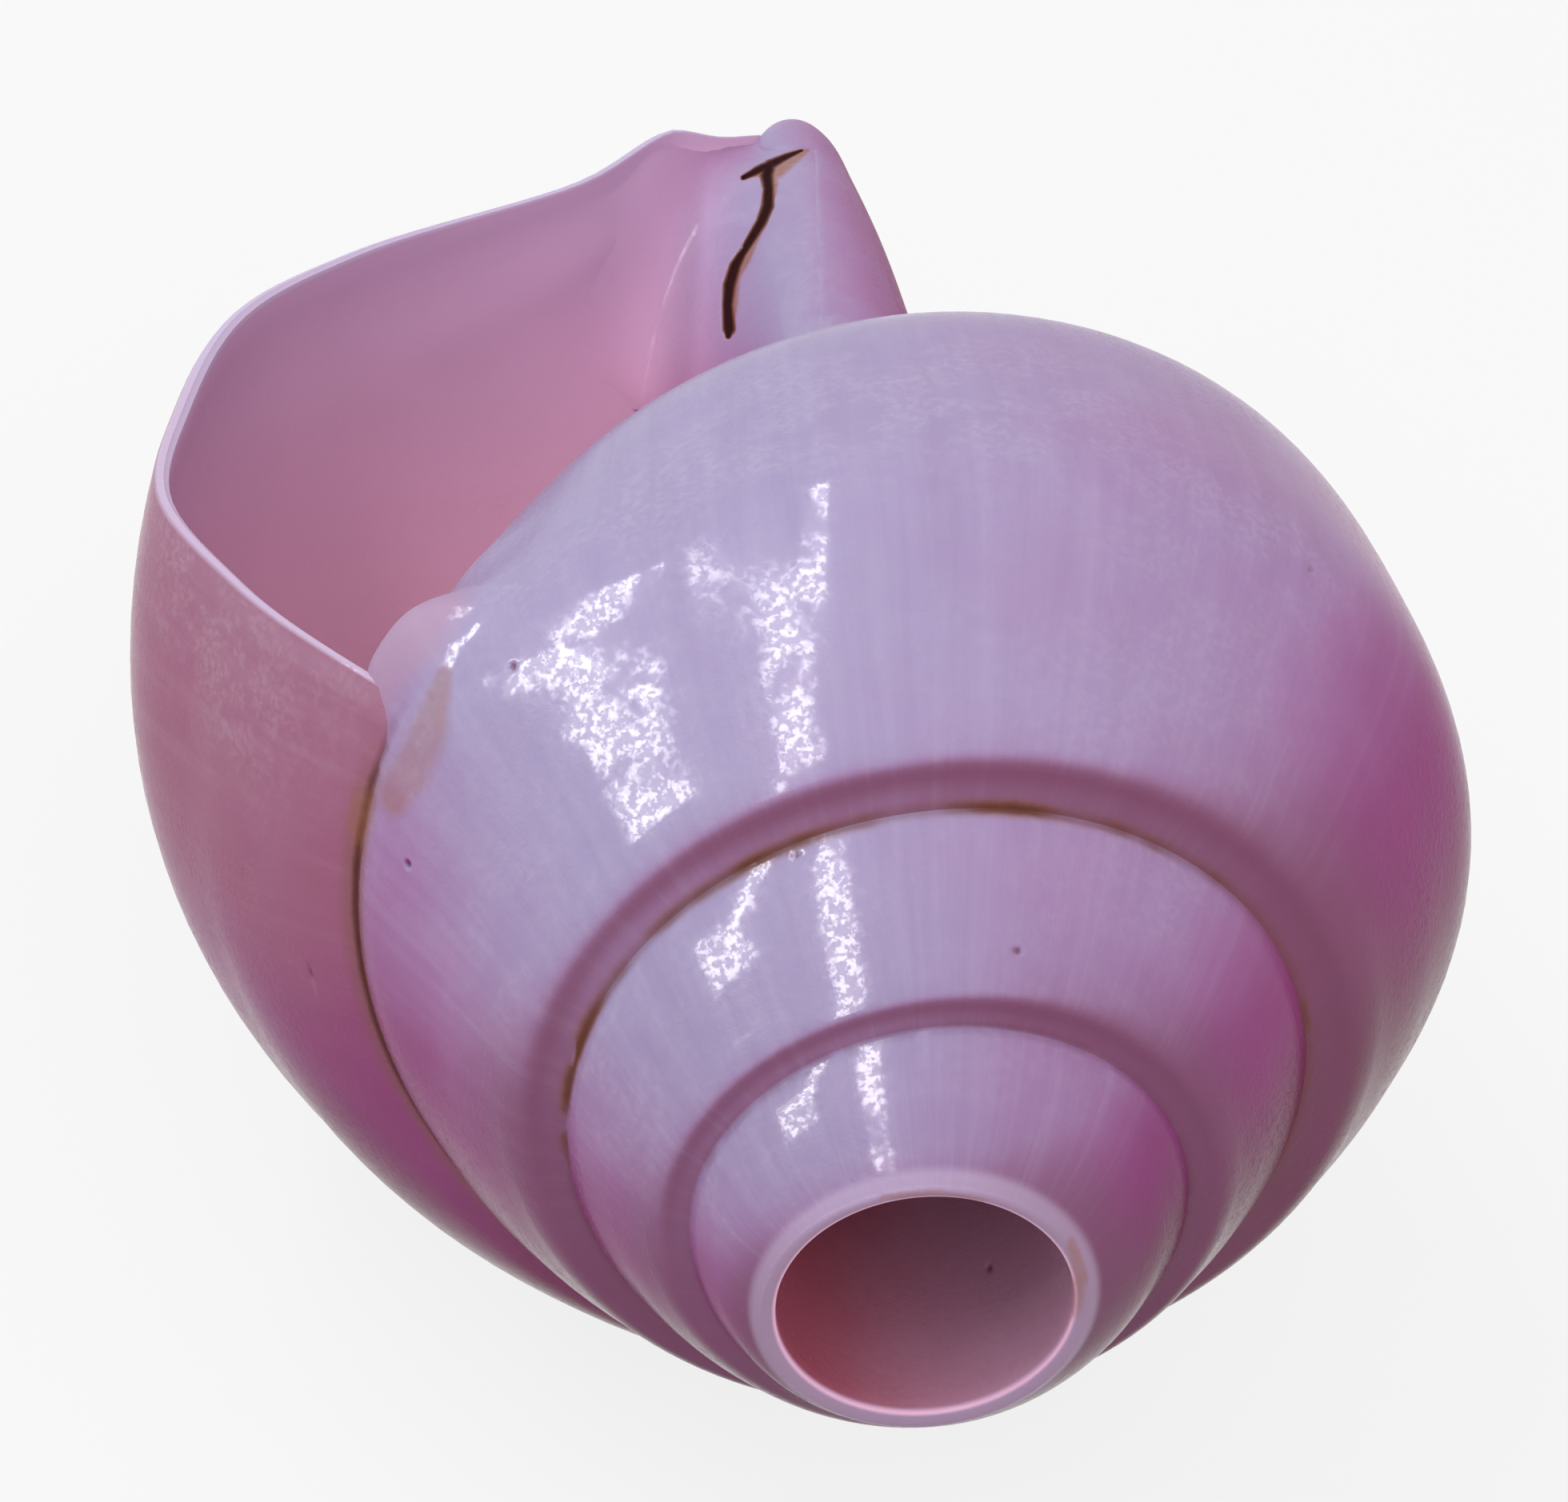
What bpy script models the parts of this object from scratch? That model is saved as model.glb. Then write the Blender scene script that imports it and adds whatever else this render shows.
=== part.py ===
"""A dextral chank shell with its apex ground off for a blowing hole: one closed solid, lying at rest.

It is modelled about its own axis with the apex up. A depth is measured down that axis from the pole that
the whorls grow away from: each turn of growth makes them WIDER across it and LONGER along it.
"""

from math import cos, pi, radians, sin

import bmesh
import bpy
from mathutils import Matrix, Vector

# Growth of one turn.
WIDER = 1.556
LONGER = 1.665

# A whorl's outline in the plane of the lip, from the suture to the axis: (radius, depth).
SUTURE = (0.0287, 0.0334)
LEDGE = (0.0325, 0.0342)
SHOULDER = (0.0350, 0.0384)
SLOPE = (0.0402, 0.0459)
WIDEST = (SUTURE[0] * WIDER, SUTURE[1] * LONGER)
BELLY = (0.0445, 0.0695)
BASE = (0.0416, 0.0850)
WAIST = (0.0345, 0.0962)
NECK = (0.0186, 0.1128)
CANAL_END = (0.0114, 0.1240)
FRONT = (0.0, 0.1260)
OUTLINE = (SUTURE, LEDGE, SHOULDER, SLOPE, WIDEST, BELLY, BASE, WAIST, NECK, CANAL_END, FRONT)
OUTLINE_STEPS = 3
TURN_STEPS = 40
TURNS = 4.25

# The tunnel inside the whorls: a ring in the plane of the lip, from the suture round by the outer wall.
# It winds up for TUNNEL_TURNS and starts a little PAST_LIP, in turns, so that it cuts the lip open.
TUNNEL = (
    (0.0316, 0.0370),
    (0.0388, 0.0476),
    (0.0427, 0.0564),
    (0.0426, 0.0692),
    (0.0398, 0.0842),
    (0.0329, 0.0950),
    (0.0172, 0.1112),
    (0.0096, 0.1212),
    (0.0070, 0.1208),
    (0.0074, 0.1080),
    (0.0088, 0.0920),
    (0.0108, 0.0780),
    (0.0155, 0.0675),
    (0.0256, 0.0566),
    (0.0301, 0.0435),
)
TUNNEL_TURNS = 2.6
TUNNEL_TURN_STEPS = 25
PAST_LIP = 0.04

# The pillar that the whorls wind round, from its top down: (radius, depth).
PILLAR = (
    (0.0, 0.0600),
    (0.0065, 0.0620),
    (0.0082, 0.0780),
    (0.0080, 0.0920),
    (0.0070, 0.1050),
    (0.0060, 0.1150),
    (0.0046, 0.1250),
    (0.0032, 0.1320),
    (0.0, 0.1365),
)
PILLAR_SIDES = 20

# The canal's open front end: a round way along the axis, a little behind the lip.
CANAL_RADIUS = 0.0024
CANAL_OFFSET = 0.0090
CANAL_ANGLE = radians(12)
CANAL_TOP = 0.1050
CANAL_BOTTOM = 0.1400

# The ground apex and the hole bored into it.
APEX_CUT = 0.0072
HOLE_RADIUS = 0.0074
HOLE_FLOOR_RADIUS = 0.0050
HOLE_FLOOR = 0.0270
HOLE_SIDES = 40
APEX_SWELL = 0.0013
SWELL_DEPTH = 0.0220

CUTTER_REACH = 0.2
ROUNDING = 0.000002

# How it lies on a table, on the back of its last whorl: turned about its own axis, then tipped over.
REST_SPIN = radians(161.65)
REST_TIP = radians(83.3)

SHELL_COLOUR = (0.62, 0.47, 0.60, 1.0)
SHELL_ROUGHNESS = 0.2


def clear_scene():
    for old in list(bpy.data.objects):
        bpy.data.objects.remove(old, do_unlink=True)


def new_collection(name):
    made = bpy.data.collections.new(name)
    bpy.context.scene.collection.children.link(made)
    return made


def new_object(name, shape, collection):
    """An object from a bmesh, which it frees."""
    bmesh.ops.recalc_face_normals(shape, faces=shape.faces)
    mesh = bpy.data.meshes.new(name)
    shape.to_mesh(mesh)
    shape.free()
    made = bpy.data.objects.new(name, mesh)
    collection.objects.link(made)
    return made


def grown(point, turns):
    """Where a point of the lip's plane, (radius, depth), lies after this many turns of growth."""
    radius = point[0] * WIDER**turns
    angle = -2 * pi * turns
    return Vector((radius * cos(angle), radius * sin(angle), -point[1] * LONGER**turns))


def rounded(points):
    """A smooth curve through the points, with OUTLINE_STEPS steps between one and the next."""
    points = [Vector(point) for point in points]
    padded = [points[0], *points, points[-1]]
    found = []
    for before, start, end, after in zip(padded, padded[1:], padded[2:], padded[3:]):
        for step in range(OUTLINE_STEPS):
            part = step / OUTLINE_STEPS
            bend = (2 * before - 5 * start + 4 * end - after) * part**2
            twist = (3 * start - before - 3 * end + after) * part**3
            found.append(start + 0.5 * ((end - before) * part + bend + twist))
    return found + [points[-1]]


def edges_between(shape, points, closed=False):
    verts = [shape.verts.new(point) for point in points]
    if closed:
        verts.append(verts[0])
    return [shape.edges.new(pair) for pair in zip(verts, verts[1:])]


def sweep(shape, edges, turns, turn_steps):
    """Extrudes the edges along the growth spiral. Gives the last edges made."""
    part = 1 / turn_steps
    growth = Matrix.Diagonal((WIDER**part, WIDER**part, LONGER**part, 1.0))
    growth @= Matrix.Rotation(-2 * pi * part, 4, "Z")
    for _ in range(round(turns * turn_steps)):
        made = bmesh.ops.extrude_edge_only(shape, edges=edges)["geom"]
        edges = [item for item in made if isinstance(item, bmesh.types.BMEdge)]
        moving = [item for item in made if isinstance(item, bmesh.types.BMVert)]
        bmesh.ops.transform(shape, matrix=growth, verts=moving)
    return edges


def whorls(collection):
    """The filled shell. A whorl's suture runs along the widest line of the whorl before it, so the two
    share their points there. Only the last whorl shows its base and its canal."""
    outline = rounded(OUTLINE)
    widest = OUTLINE_STEPS * OUTLINE.index(WIDEST)
    shape = bmesh.new()
    spire = edges_between(shape, [grown(point, -TURNS) for point in outline[: widest + 1]])
    sweep(shape, spire, TURNS, TURN_STEPS)
    base = edges_between(shape, [grown(point, -1) for point in outline[widest:]])
    sweep(shape, base, 1, TURN_STEPS)
    bmesh.ops.remove_doubles(shape, verts=shape.verts, dist=ROUNDING)
    close_ends(shape)
    swell_apex(shape)
    return new_object("shell", shape, collection)


def close_ends(shape):
    """Closes the open start with a fan to the pole and the lip with one flat face."""
    rim = [edge for edge in shape.edges if edge.is_boundary]
    start = [edge for edge in rim if -edge.verts[0].co.z < SUTURE[1] / 2]
    lip = [edge for edge in rim if edge not in start]
    made = bmesh.ops.extrude_edge_only(shape, edges=start)["geom"]
    fan = [item for item in made if isinstance(item, bmesh.types.BMVert)]
    bmesh.ops.pointmerge(shape, verts=fan, merge_co=(0.0, 0.0, 0.0))
    bmesh.ops.contextual_create(shape, geom=lip)


def swell_apex(shape):
    """The oldest whorls are plumper than the growth spiral makes them."""
    for vert in shape.verts:
        radius = vert.co.xy.length
        near = max(0.0, 1 + vert.co.z / SWELL_DEPTH)
        if radius > ROUNDING:
            vert.co.xy *= 1 + APEX_SWELL * near**2 / radius


def tunnel(collection):
    shape = bmesh.new()
    start = edges_between(shape, [grown(point, PAST_LIP - TUNNEL_TURNS) for point in TUNNEL], closed=True)
    end = sweep(shape, start, TUNNEL_TURNS, TUNNEL_TURN_STEPS)
    bmesh.ops.contextual_create(shape, geom=start)
    bmesh.ops.contextual_create(shape, geom=end)
    return new_object("tunnel", shape, collection)


def turned(name, points, sides, collection):
    """A solid of revolution about the shell's axis, from an outline that runs down its outer side."""
    shape = bmesh.new()
    edges_between(shape, [(radius, 0.0, -depth) for radius, depth in points])
    made = new_object(name, shape, collection)
    screw = made.modifiers.new("turn", "SCREW")
    screw.steps = sides
    screw.render_steps = sides
    screw.use_merge_vertices = True
    screw.merge_threshold = ROUNDING
    return made


def canal_way(collection):
    shape = bmesh.new()
    length = CANAL_BOTTOM - CANAL_TOP
    middle = -CANAL_TOP - length / 2
    place = Vector((CANAL_OFFSET * cos(CANAL_ANGLE), CANAL_OFFSET * sin(CANAL_ANGLE), middle))
    bmesh.ops.create_cone(
        shape,
        cap_ends=True,
        segments=PILLAR_SIDES,
        radius1=CANAL_RADIUS,
        radius2=CANAL_RADIUS,
        depth=length,
        matrix=Matrix.Translation(place),
    )
    return new_object("canal way", shape, collection)


def combine(body, other, operation):
    joint = body.modifiers.new(other.name, "BOOLEAN")
    joint.operation = operation
    joint.solver = "EXACT"
    joint.object = other


def polished_shell():
    material = bpy.data.materials.new("polished shell")
    material.use_nodes = True
    shader = material.node_tree.nodes["Principled BSDF"]
    shader.inputs["Base Color"].default_value = SHELL_COLOUR
    shader.inputs["Roughness"].default_value = SHELL_ROUGHNESS
    shader.inputs["Metallic"].default_value = 0.0
    return material


def lay_down(shell, tools, collection):
    """Tips the shell and its cutters over together, and brings the middle of its underside to the origin."""
    axis = bpy.data.objects.new("shell axis", None)
    collection.objects.link(axis)
    for piece in (shell, *tools):
        piece.parent = axis
    axis.rotation_mode = "ZYX"
    axis.rotation_euler = (REST_TIP, 0.0, REST_SPIN)
    bpy.context.view_layer.update()
    finished = shell.evaluated_get(bpy.context.evaluated_depsgraph_get())
    corners = [finished.matrix_world @ vert.co for vert in finished.data.vertices]
    low = Vector(map(min, zip(*corners)))
    high = Vector(map(max, zip(*corners)))
    axis.location = (-(low.x + high.x) / 2, -(low.y + high.y) / 2, -low.z)


def main():
    clear_scene()
    parts = new_collection("conch shell")
    cutters = new_collection("cutters")
    shell = whorls(parts)
    blunt = ((0.0, -CUTTER_REACH), (CUTTER_REACH, -CUTTER_REACH), (CUTTER_REACH, APEX_CUT))
    bore = ((HOLE_RADIUS, APEX_CUT), (HOLE_FLOOR_RADIUS, HOLE_FLOOR), (0.0, HOLE_FLOOR))
    tools = {
        tunnel(cutters): "DIFFERENCE",
        canal_way(cutters): "DIFFERENCE",
        turned("pillar", PILLAR, PILLAR_SIDES, cutters): "UNION",
        turned("hole", blunt + bore, HOLE_SIDES, cutters): "DIFFERENCE",
    }
    for tool, operation in tools.items():
        tool.hide_render = True
        tool.display_type = "WIRE"
        combine(shell, tool, operation)
    shell.data.materials.append(polished_shell())
    shell.data.shade_smooth()
    lay_down(shell, tools, parts)


main()
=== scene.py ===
# %% [markdown]
# # A polished chank shell
# This shell is a horn: its pointed end was ground off flat to leave a blowing hole. A snail makes such a
# shell by adding to one edge, the lip, while it turns and grows. So the whole form is one curved outline,
# turned and enlarged by the same amount again and again.

from math import cos, pi, radians, sin

import bpy
import numpy as np
from mathutils import Matrix, Quaternion, Vector
from mathutils.kdtree import KDTree


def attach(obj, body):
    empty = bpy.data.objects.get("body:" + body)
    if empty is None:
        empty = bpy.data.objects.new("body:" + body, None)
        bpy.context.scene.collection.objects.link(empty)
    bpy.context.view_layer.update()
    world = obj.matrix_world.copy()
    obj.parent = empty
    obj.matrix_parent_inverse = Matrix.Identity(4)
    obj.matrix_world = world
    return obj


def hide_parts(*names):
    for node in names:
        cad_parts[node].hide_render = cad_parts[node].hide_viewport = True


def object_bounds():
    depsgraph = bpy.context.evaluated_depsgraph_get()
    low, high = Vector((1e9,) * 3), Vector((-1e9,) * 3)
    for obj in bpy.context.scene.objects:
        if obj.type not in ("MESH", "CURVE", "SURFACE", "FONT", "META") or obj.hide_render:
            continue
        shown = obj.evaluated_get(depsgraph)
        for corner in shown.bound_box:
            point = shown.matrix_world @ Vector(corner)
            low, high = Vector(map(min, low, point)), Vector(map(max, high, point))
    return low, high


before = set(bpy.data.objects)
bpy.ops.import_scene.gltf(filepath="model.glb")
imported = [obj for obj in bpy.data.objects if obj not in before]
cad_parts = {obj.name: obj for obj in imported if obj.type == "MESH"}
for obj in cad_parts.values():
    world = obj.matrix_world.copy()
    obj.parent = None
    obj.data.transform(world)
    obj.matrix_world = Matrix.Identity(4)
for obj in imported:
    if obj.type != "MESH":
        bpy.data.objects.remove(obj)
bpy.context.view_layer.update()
MM = 0.001

# %% [markdown]
# ## The growth and the outline
# All lengths are in millimetres, measured from the pole, the point that the whorls grow away from. One
# turn of growth makes everything 1.556 times as wide and 1.665 times as long. The outline is the curve
# that the lip draws: a narrow ledge beside the suture, a shoulder, the wide belly, and the neck.

# %% The growth law
WIDER = 1.556
LONGER = 1.665
STEPS = 128

SUTURE = (28.7, 33.4)
WIDEST = (SUTURE[0] * WIDER, SUTURE[1] * LONGER)
OUTLINE = (
    SUTURE,
    (30.6, 34.1),
    (32.3, 34.5),
    (33.7, 35.8),
    (35.3, 38.2),
    (40.2, 45.9),
    WIDEST,
    (44.5, 69.5),
    (41.6, 85.0),
    (34.5, 96.2),
    (18.6, 112.8),
    (11.4, 124.0),
    (7.2, 127.0),
    (3.4, 131.0),
)
SPANS = (4, 4, 4, 4, 6, 6, 8, 8, 7, 10, 7, 4, 3)
SHOULDER_ROW = sum(SPANS[:5])
WIDEST_ROW = sum(SPANS[:6])
CANAL_ROW = sum(SPANS[:11])


def smooth_curve(points, spans):
    """Points along a smooth curve through these points, with so many steps in each span."""
    points = [np.array(point, float) for point in points]
    points = [2 * points[0] - points[1], *points, 2 * points[-1] - points[-2]]
    curve = []
    for index, steps in enumerate(spans):
        a, b, c, d = points[index : index + 4]
        knots = np.cumsum([0] + [np.linalg.norm(q - p) ** 0.5 for p, q in ((a, b), (b, c), (c, d))])
        for step in range(steps):
            u = knots[1] + (knots[2] - knots[1]) * step / steps
            ab = a + (b - a) * (u - knots[0]) / (knots[1] - knots[0])
            bc = b + (c - b) * (u - knots[1]) / (knots[2] - knots[1])
            cd = c + (d - c) * (u - knots[2]) / (knots[3] - knots[2])
            left = ab + (bc - ab) * (u - knots[0]) / (knots[2] - knots[0])
            right = bc + (cd - bc) * (u - knots[1]) / (knots[3] - knots[1])
            curve.append(left + (right - left) * (u - knots[1]) / (knots[2] - knots[1]))
    return np.array(curve + [points[-2]])


outline = smooth_curve(OUTLINE, SPANS)
run = np.concatenate([[0], np.cumsum(np.linalg.norm(np.diff(outline, axis=0), axis=1))])
along = run / run[CANAL_ROW]
print("the outline is", round(run[-1], 1), "mm long and has", len(outline), "points")
print("places: shoulder", along[SHOULDER_ROW].round(3), "widest", along[WIDEST_ROW].round(3))

# %% [markdown]
# ## Drawing the outline and one step of growth
# The outline is drawn as by hand, by extruding one point along it. Extruding that edge once, turned and
# shrunk a little, makes a strip: one step of growth, seen backwards from the lip. An Array modifier then
# repeats the strip, each copy turned and shrunk by the same step, which is just how such a shell grows.


# %% Drawing helpers
TOUCHING = 0.000002


def deselect_all():
    if bpy.context.mode != "OBJECT":
        bpy.ops.object.mode_set(mode="OBJECT")
    bpy.ops.object.select_all(action="DESELECT")


def make_active(piece):
    deselect_all()
    piece.select_set(True)
    bpy.context.view_layer.objects.active = piece


def draw_chain(name, points):
    """A chain of edges through the points (radius, depth), drawn by extruding one vertex."""
    deselect_all()
    bpy.ops.mesh.primitive_plane_add(size=MM)
    chain = bpy.context.object
    chain.name = name
    bpy.ops.object.mode_set(mode="EDIT")
    bpy.ops.mesh.select_mode(type="VERT")
    bpy.ops.mesh.select_all(action="SELECT")
    bpy.ops.mesh.merge(type="CENTER")
    start = (points[0][0] * MM, 0.0, -points[0][1] * MM)
    bpy.ops.transform.translate(value=start)
    for before, after in zip(points, points[1:]):
        move = ((after[0] - before[0]) * MM, 0.0, (before[1] - after[1]) * MM)
        bpy.ops.mesh.extrude_region_move(TRANSFORM_OT_translate={"value": move})
    bpy.ops.object.mode_set(mode="OBJECT")
    return chain


def join(piece, whole):
    """Joins a piece into the whole, which keeps its name."""
    make_active(whole)
    piece.select_set(True)
    bpy.ops.object.join()


def growth_step(turns):
    """The matrix that a point of the shell moves by in so many turns of growth."""
    size = Matrix.Diagonal((WIDER**turns, WIDER**turns, LONGER**turns, 1.0))
    return Matrix.Rotation(-2 * pi * turns, 4, "Z") @ size


# %% [markdown]
# Each point of the mesh carries a few notes, which Blender calls attributes: its place on the outline, its
# turn, and how far it belongs to the inside. The shaping below reads them. The place and the turn are also
# kept in the UV map, which stays right where two whorls share their points, and the material reads that.


# %% Notes on points
def note(piece, name, values):
    layer = piece.data.attributes.get(name) or piece.data.attributes.new(name, "FLOAT", "POINT")
    layer.data.foreach_set("value", np.broadcast_to(values, len(piece.data.vertices)).astype(np.float32))


def noted(piece, name):
    values = np.empty(len(piece.data.vertices), np.float32)
    piece.data.attributes[name].data.foreach_get("value", values)
    return values.astype(float)


def positions(piece):
    values = np.empty(3 * len(piece.data.vertices), np.float32)
    piece.data.vertices.foreach_get("co", values)
    return values.reshape(-1, 3).astype(float) / MM


def move_points(piece, values):
    piece.data.vertices.foreach_set("co", (values * MM).astype(np.float32).ravel())
    piece.data.update()


def normals(piece):
    values = np.empty(3 * len(piece.data.vertices), np.float32)
    piece.data.vertex_normals.foreach_get("vector", values)
    return values.reshape(-1, 3).astype(float)


def selected_points(piece):
    values = np.empty(len(piece.data.vertices), bool)
    piece.data.vertices.foreach_get("select", values)
    return values


def select_points(piece, mask):
    """Puts the piece in edit mode with just these points selected, and the edges and faces between them."""
    make_active(piece)
    bpy.ops.object.mode_set(mode="EDIT")
    bpy.ops.mesh.select_all(action="DESELECT")
    bpy.ops.mesh.select_mode(type="VERT")
    bpy.ops.object.mode_set(mode="OBJECT")
    piece.data.vertices.foreach_set("select", np.asarray(mask, bool))
    bpy.ops.object.mode_set(mode="EDIT")


def subdivide(piece, mask, cuts):
    """Subdivides the faces between these points."""
    select_points(piece, mask)
    bpy.ops.mesh.subdivide(number_cuts=cuts)
    bpy.ops.object.mode_set(mode="OBJECT")


def merge_touching(piece, mask):
    """Merges those of these points that touch one another."""
    select_points(piece, mask)
    bpy.ops.mesh.remove_doubles(threshold=5 * TOUCHING)
    bpy.ops.object.mode_set(mode="OBJECT")


def weigh(piece, name, weights):
    """A new vertex group with this weight at each point."""
    group = piece.vertex_groups.new(name=name)
    for index, weight in enumerate(weights):
        group.add([index], float(weight), "REPLACE")


def select_open_edges(piece, mask):
    """Puts the piece in edit mode with the edges selected that end a surface, where the mask holds."""
    faces_at = np.empty(len(piece.data.loops), int)
    piece.data.loops.foreach_get("edge_index", faces_at)
    ends = np.empty(2 * len(piece.data.edges), int)
    piece.data.edges.foreach_get("vertices", ends)
    single = np.bincount(faces_at, minlength=len(piece.data.edges)) == 1
    chosen = single & np.asarray(mask)[ends.reshape(-1, 2)].all(1)
    select_points(piece, np.zeros(len(mask)))
    bpy.ops.mesh.select_mode(type="EDGE")
    bpy.ops.object.mode_set(mode="OBJECT")
    piece.data.edges.foreach_set("select", chosen)
    bpy.ops.object.mode_set(mode="EDIT")
    return int(chosen.sum())


CLOSE = 0.001


def same(values, target):
    """Where a note has this value. Notes are rounded a little, so they are never quite equal."""
    return abs(values - target) < CLOSE


def ease(x):
    """0 below 0, 1 above 1, and smooth between."""
    x = np.clip(x, 0.0, 1.0)
    return x * x * (3 - 2 * x)


def ease_from(start, stop, x):
    """0 up to start, 1 from stop, and smooth between."""
    return ease((x - start) / (stop - start))


# %% [markdown]
# One function winds any part of the outline. Modelling each whorl by hand would never give the even growth
# of a real shell, but an Array modifier with an object offset repeats one step exactly.


# %% Wind a strip
def wind(name, points, places, last_turn, steps):
    """Sweeps the chain backwards from last_turn, and notes on each point its place along the outline
    and its turn, which is 0 at the lip and falls towards the apex."""
    strip = draw_chain(name, points)
    heights = np.array([-depth * MM for _, depth in points])
    widths = np.array([radius * MM for radius, _ in points])
    bpy.ops.object.mode_set(mode="EDIT")
    bpy.ops.mesh.select_all(action="SELECT")
    bpy.ops.mesh.extrude_edges_move()
    bpy.ops.object.mode_set(mode="OBJECT")
    known = {}
    for vert in strip.data.vertices:
        nearest = int(np.argmin(abs(widths - vert.co.x) + abs(heights - vert.co.z)))
        known[vert.index] = (places[nearest], -1 / STEPS if vert.select else 0.0)
        vert.co = growth_step(last_turn + known[vert.index][1]) @ vert.co
    growth = strip.data.uv_layers.active or strip.data.uv_layers.new()
    growth.name = "growth"
    for loop in strip.data.loops:
        place, back = known[loop.vertex_index]
        growth.data[loop.index].uv = (place, last_turn + back)
    guide = bpy.data.objects.new("one step back", None)
    bpy.context.scene.collection.objects.link(guide)
    guide.matrix_world = growth_step(-1 / STEPS)
    bpy.context.view_layer.update()
    array = strip.modifiers.new("growth", "ARRAY")
    array.count = steps
    array.use_relative_offset = False
    array.use_object_offset = True
    array.offset_object = guide
    array.offset_v = -1 / STEPS
    array.use_merge_vertices = True
    array.merge_threshold = TOUCHING
    make_active(strip)
    bpy.ops.object.modifier_apply(modifier=array.name)
    bpy.data.objects.remove(guide)
    corner_points = np.empty(len(strip.data.loops), int)
    strip.data.loops.foreach_get("vertex_index", corner_points)
    corners = np.empty(2 * len(strip.data.loops), np.float32)
    strip.data.uv_layers.active.data.foreach_get("uv", corners)
    for title, values in (("place", corners[::2]), ("turn", corners[1::2])):
        of_points = np.zeros(len(strip.data.vertices))
        of_points[corner_points] = values
        note(strip, title, of_points)
    return strip


# %% [markdown]
# ## The whorls
# The last two turns have the whole outline. Further up the spire only the part above the widest line shows,
# because each whorl sits on the widest line of the one before it, so the rest is left out. The spire stops
# where the grinding took it away.

# %% Wind the whorls
WHORL_TURNS = 2
SPIRE_STEPS = 186
BELLY_PLACE = 0.45
BELLY_TURN = -0.5


def face_outwards(piece, point):
    """Turns the faces round if they look towards the axis at this point."""
    if np.dot(normals(piece)[point][:2], positions(piece)[point][:2]) < 0:
        piece.data.flip_normals()


shell = wind("shell_surface", outline, along, 0.0, WHORL_TURNS * STEPS)
spire = wind("spire", outline[: WIDEST_ROW + 1], along[: WIDEST_ROW + 1], -WHORL_TURNS, SPIRE_STEPS)
join(spire, shell)
from_belly = abs(noted(shell, "place") - BELLY_PLACE) + abs(noted(shell, "turn") - BELLY_TURN)
face_outwards(shell, np.argmin(from_belly))
print("whorls:", len(shell.data.vertices), "points")

# %% [markdown]
# ## The worn spire
# The pointed end was ground away to a flat ring, and polishing has rounded the first whorl into it, so its
# suture runs out into the ring. In each plane through the axis, the rows above the shoulder move onto a
# smooth curve from the ring to the shoulder. Half a turn of rows closes up where the suture meets the ring.

# %% Wear the spire
APEX_CUT = 7.2
RING_OUTSIDE = 8.45
RING_THICKER = 0.25
THICKER_SIDE = radians(110)
WORN_FROM = -WHORL_TURNS
WORN_TO = 1 - WHORL_TURNS - SPIRE_STEPS / STEPS
SWELL = 1.3
SWELL_DEPTH = 22.0
CLOSED = 0.99


def swollen(radius, depth):
    """The first whorls are a little fatter than the growth law makes them."""
    return radius + SWELL * np.clip(1 - depth / SWELL_DEPTH, 0, None) ** 2


def in_planes(points):
    """Splits points into their angle round the axis and their radius and depth in that plane."""
    return np.arctan2(points[:, 1], points[:, 0]), np.stack([np.hypot(*points[:, :2].T), -points[:, 2]], 1)


def from_planes(angle, flat):
    return np.stack([flat[:, 0] * np.cos(angle), flat[:, 0] * np.sin(angle), -flat[:, 1]], 1)


def curve_to_shoulder(share, start, end, heading):
    """A parabola from start to end, which arrives at the end in the given direction."""
    heading = heading / np.linalg.norm(heading, axis=1)[:, None]
    middle = end - 0.5 * heading * np.linalg.norm(end - start, axis=1)[:, None]
    return (1 - share) ** 2 * start + 2 * share * (1 - share) * middle + share**2 * end


place = noted(shell, "place")
turn = noted(shell, "turn")
angle, flat = in_planes(positions(shell))
flat[:, 0] = swollen(*flat.T)
size = np.stack([WIDER**turn, LONGER**turn], 1)
ring_radius = RING_OUTSIDE + RING_THICKER * np.cos(angle - THICKER_SIDE)
start = np.stack([ring_radius, np.full(len(flat), APEX_CUT)], 1)
end = outline[SHOULDER_ROW] * size
end[:, 0] = swollen(*end.T)
share = np.clip(place / along[SHOULDER_ROW], 0, 1)[:, None]
rounded = curve_to_shoulder(share, start, end, (outline[WIDEST_ROW] - outline[SHOULDER_ROW]) * size)
worn = ease_from(WORN_FROM, WORN_TO, turn) * (share[:, 0] < 1)
closing = ease_from(WORN_FROM, WORN_TO, turn + 1)
flat += (rounded - flat) * worn[:, None]
flat += (start - flat) * closing[:, None]
move_points(shell, from_planes(angle, flat))

# %% [markdown]
# Each whorl of the spire sits on the widest line of the one before it. Points of the two that touch there
# are merged, so that the spire is one surface with no gap at the suture.

# %% Join the whorls at their sutures
edge_rows = same(place, 0) | same(place, along[WIDEST_ROW])
on_join = same(turn, -WHORL_TURNS)
merge_touching(shell, on_join | (edge_rows & (turn < -1)) | (closing > CLOSED))
print("with the sutures of the spire joined:", len(shell.data.vertices), "points")

# %% [markdown]
# ## The lip's own curve
# The lip isn't a straight cut: its two ends have grown further than its middle. Points near the lip are
# moved along the growth spiral, so they stay on the shell's surface.

# %% Curve the lip
LIP_REACH = 0.22
LIP_MIDDLE = 0.3
LIP_SLOPE = -0.071
LIP_CURVE = 0.151


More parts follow.
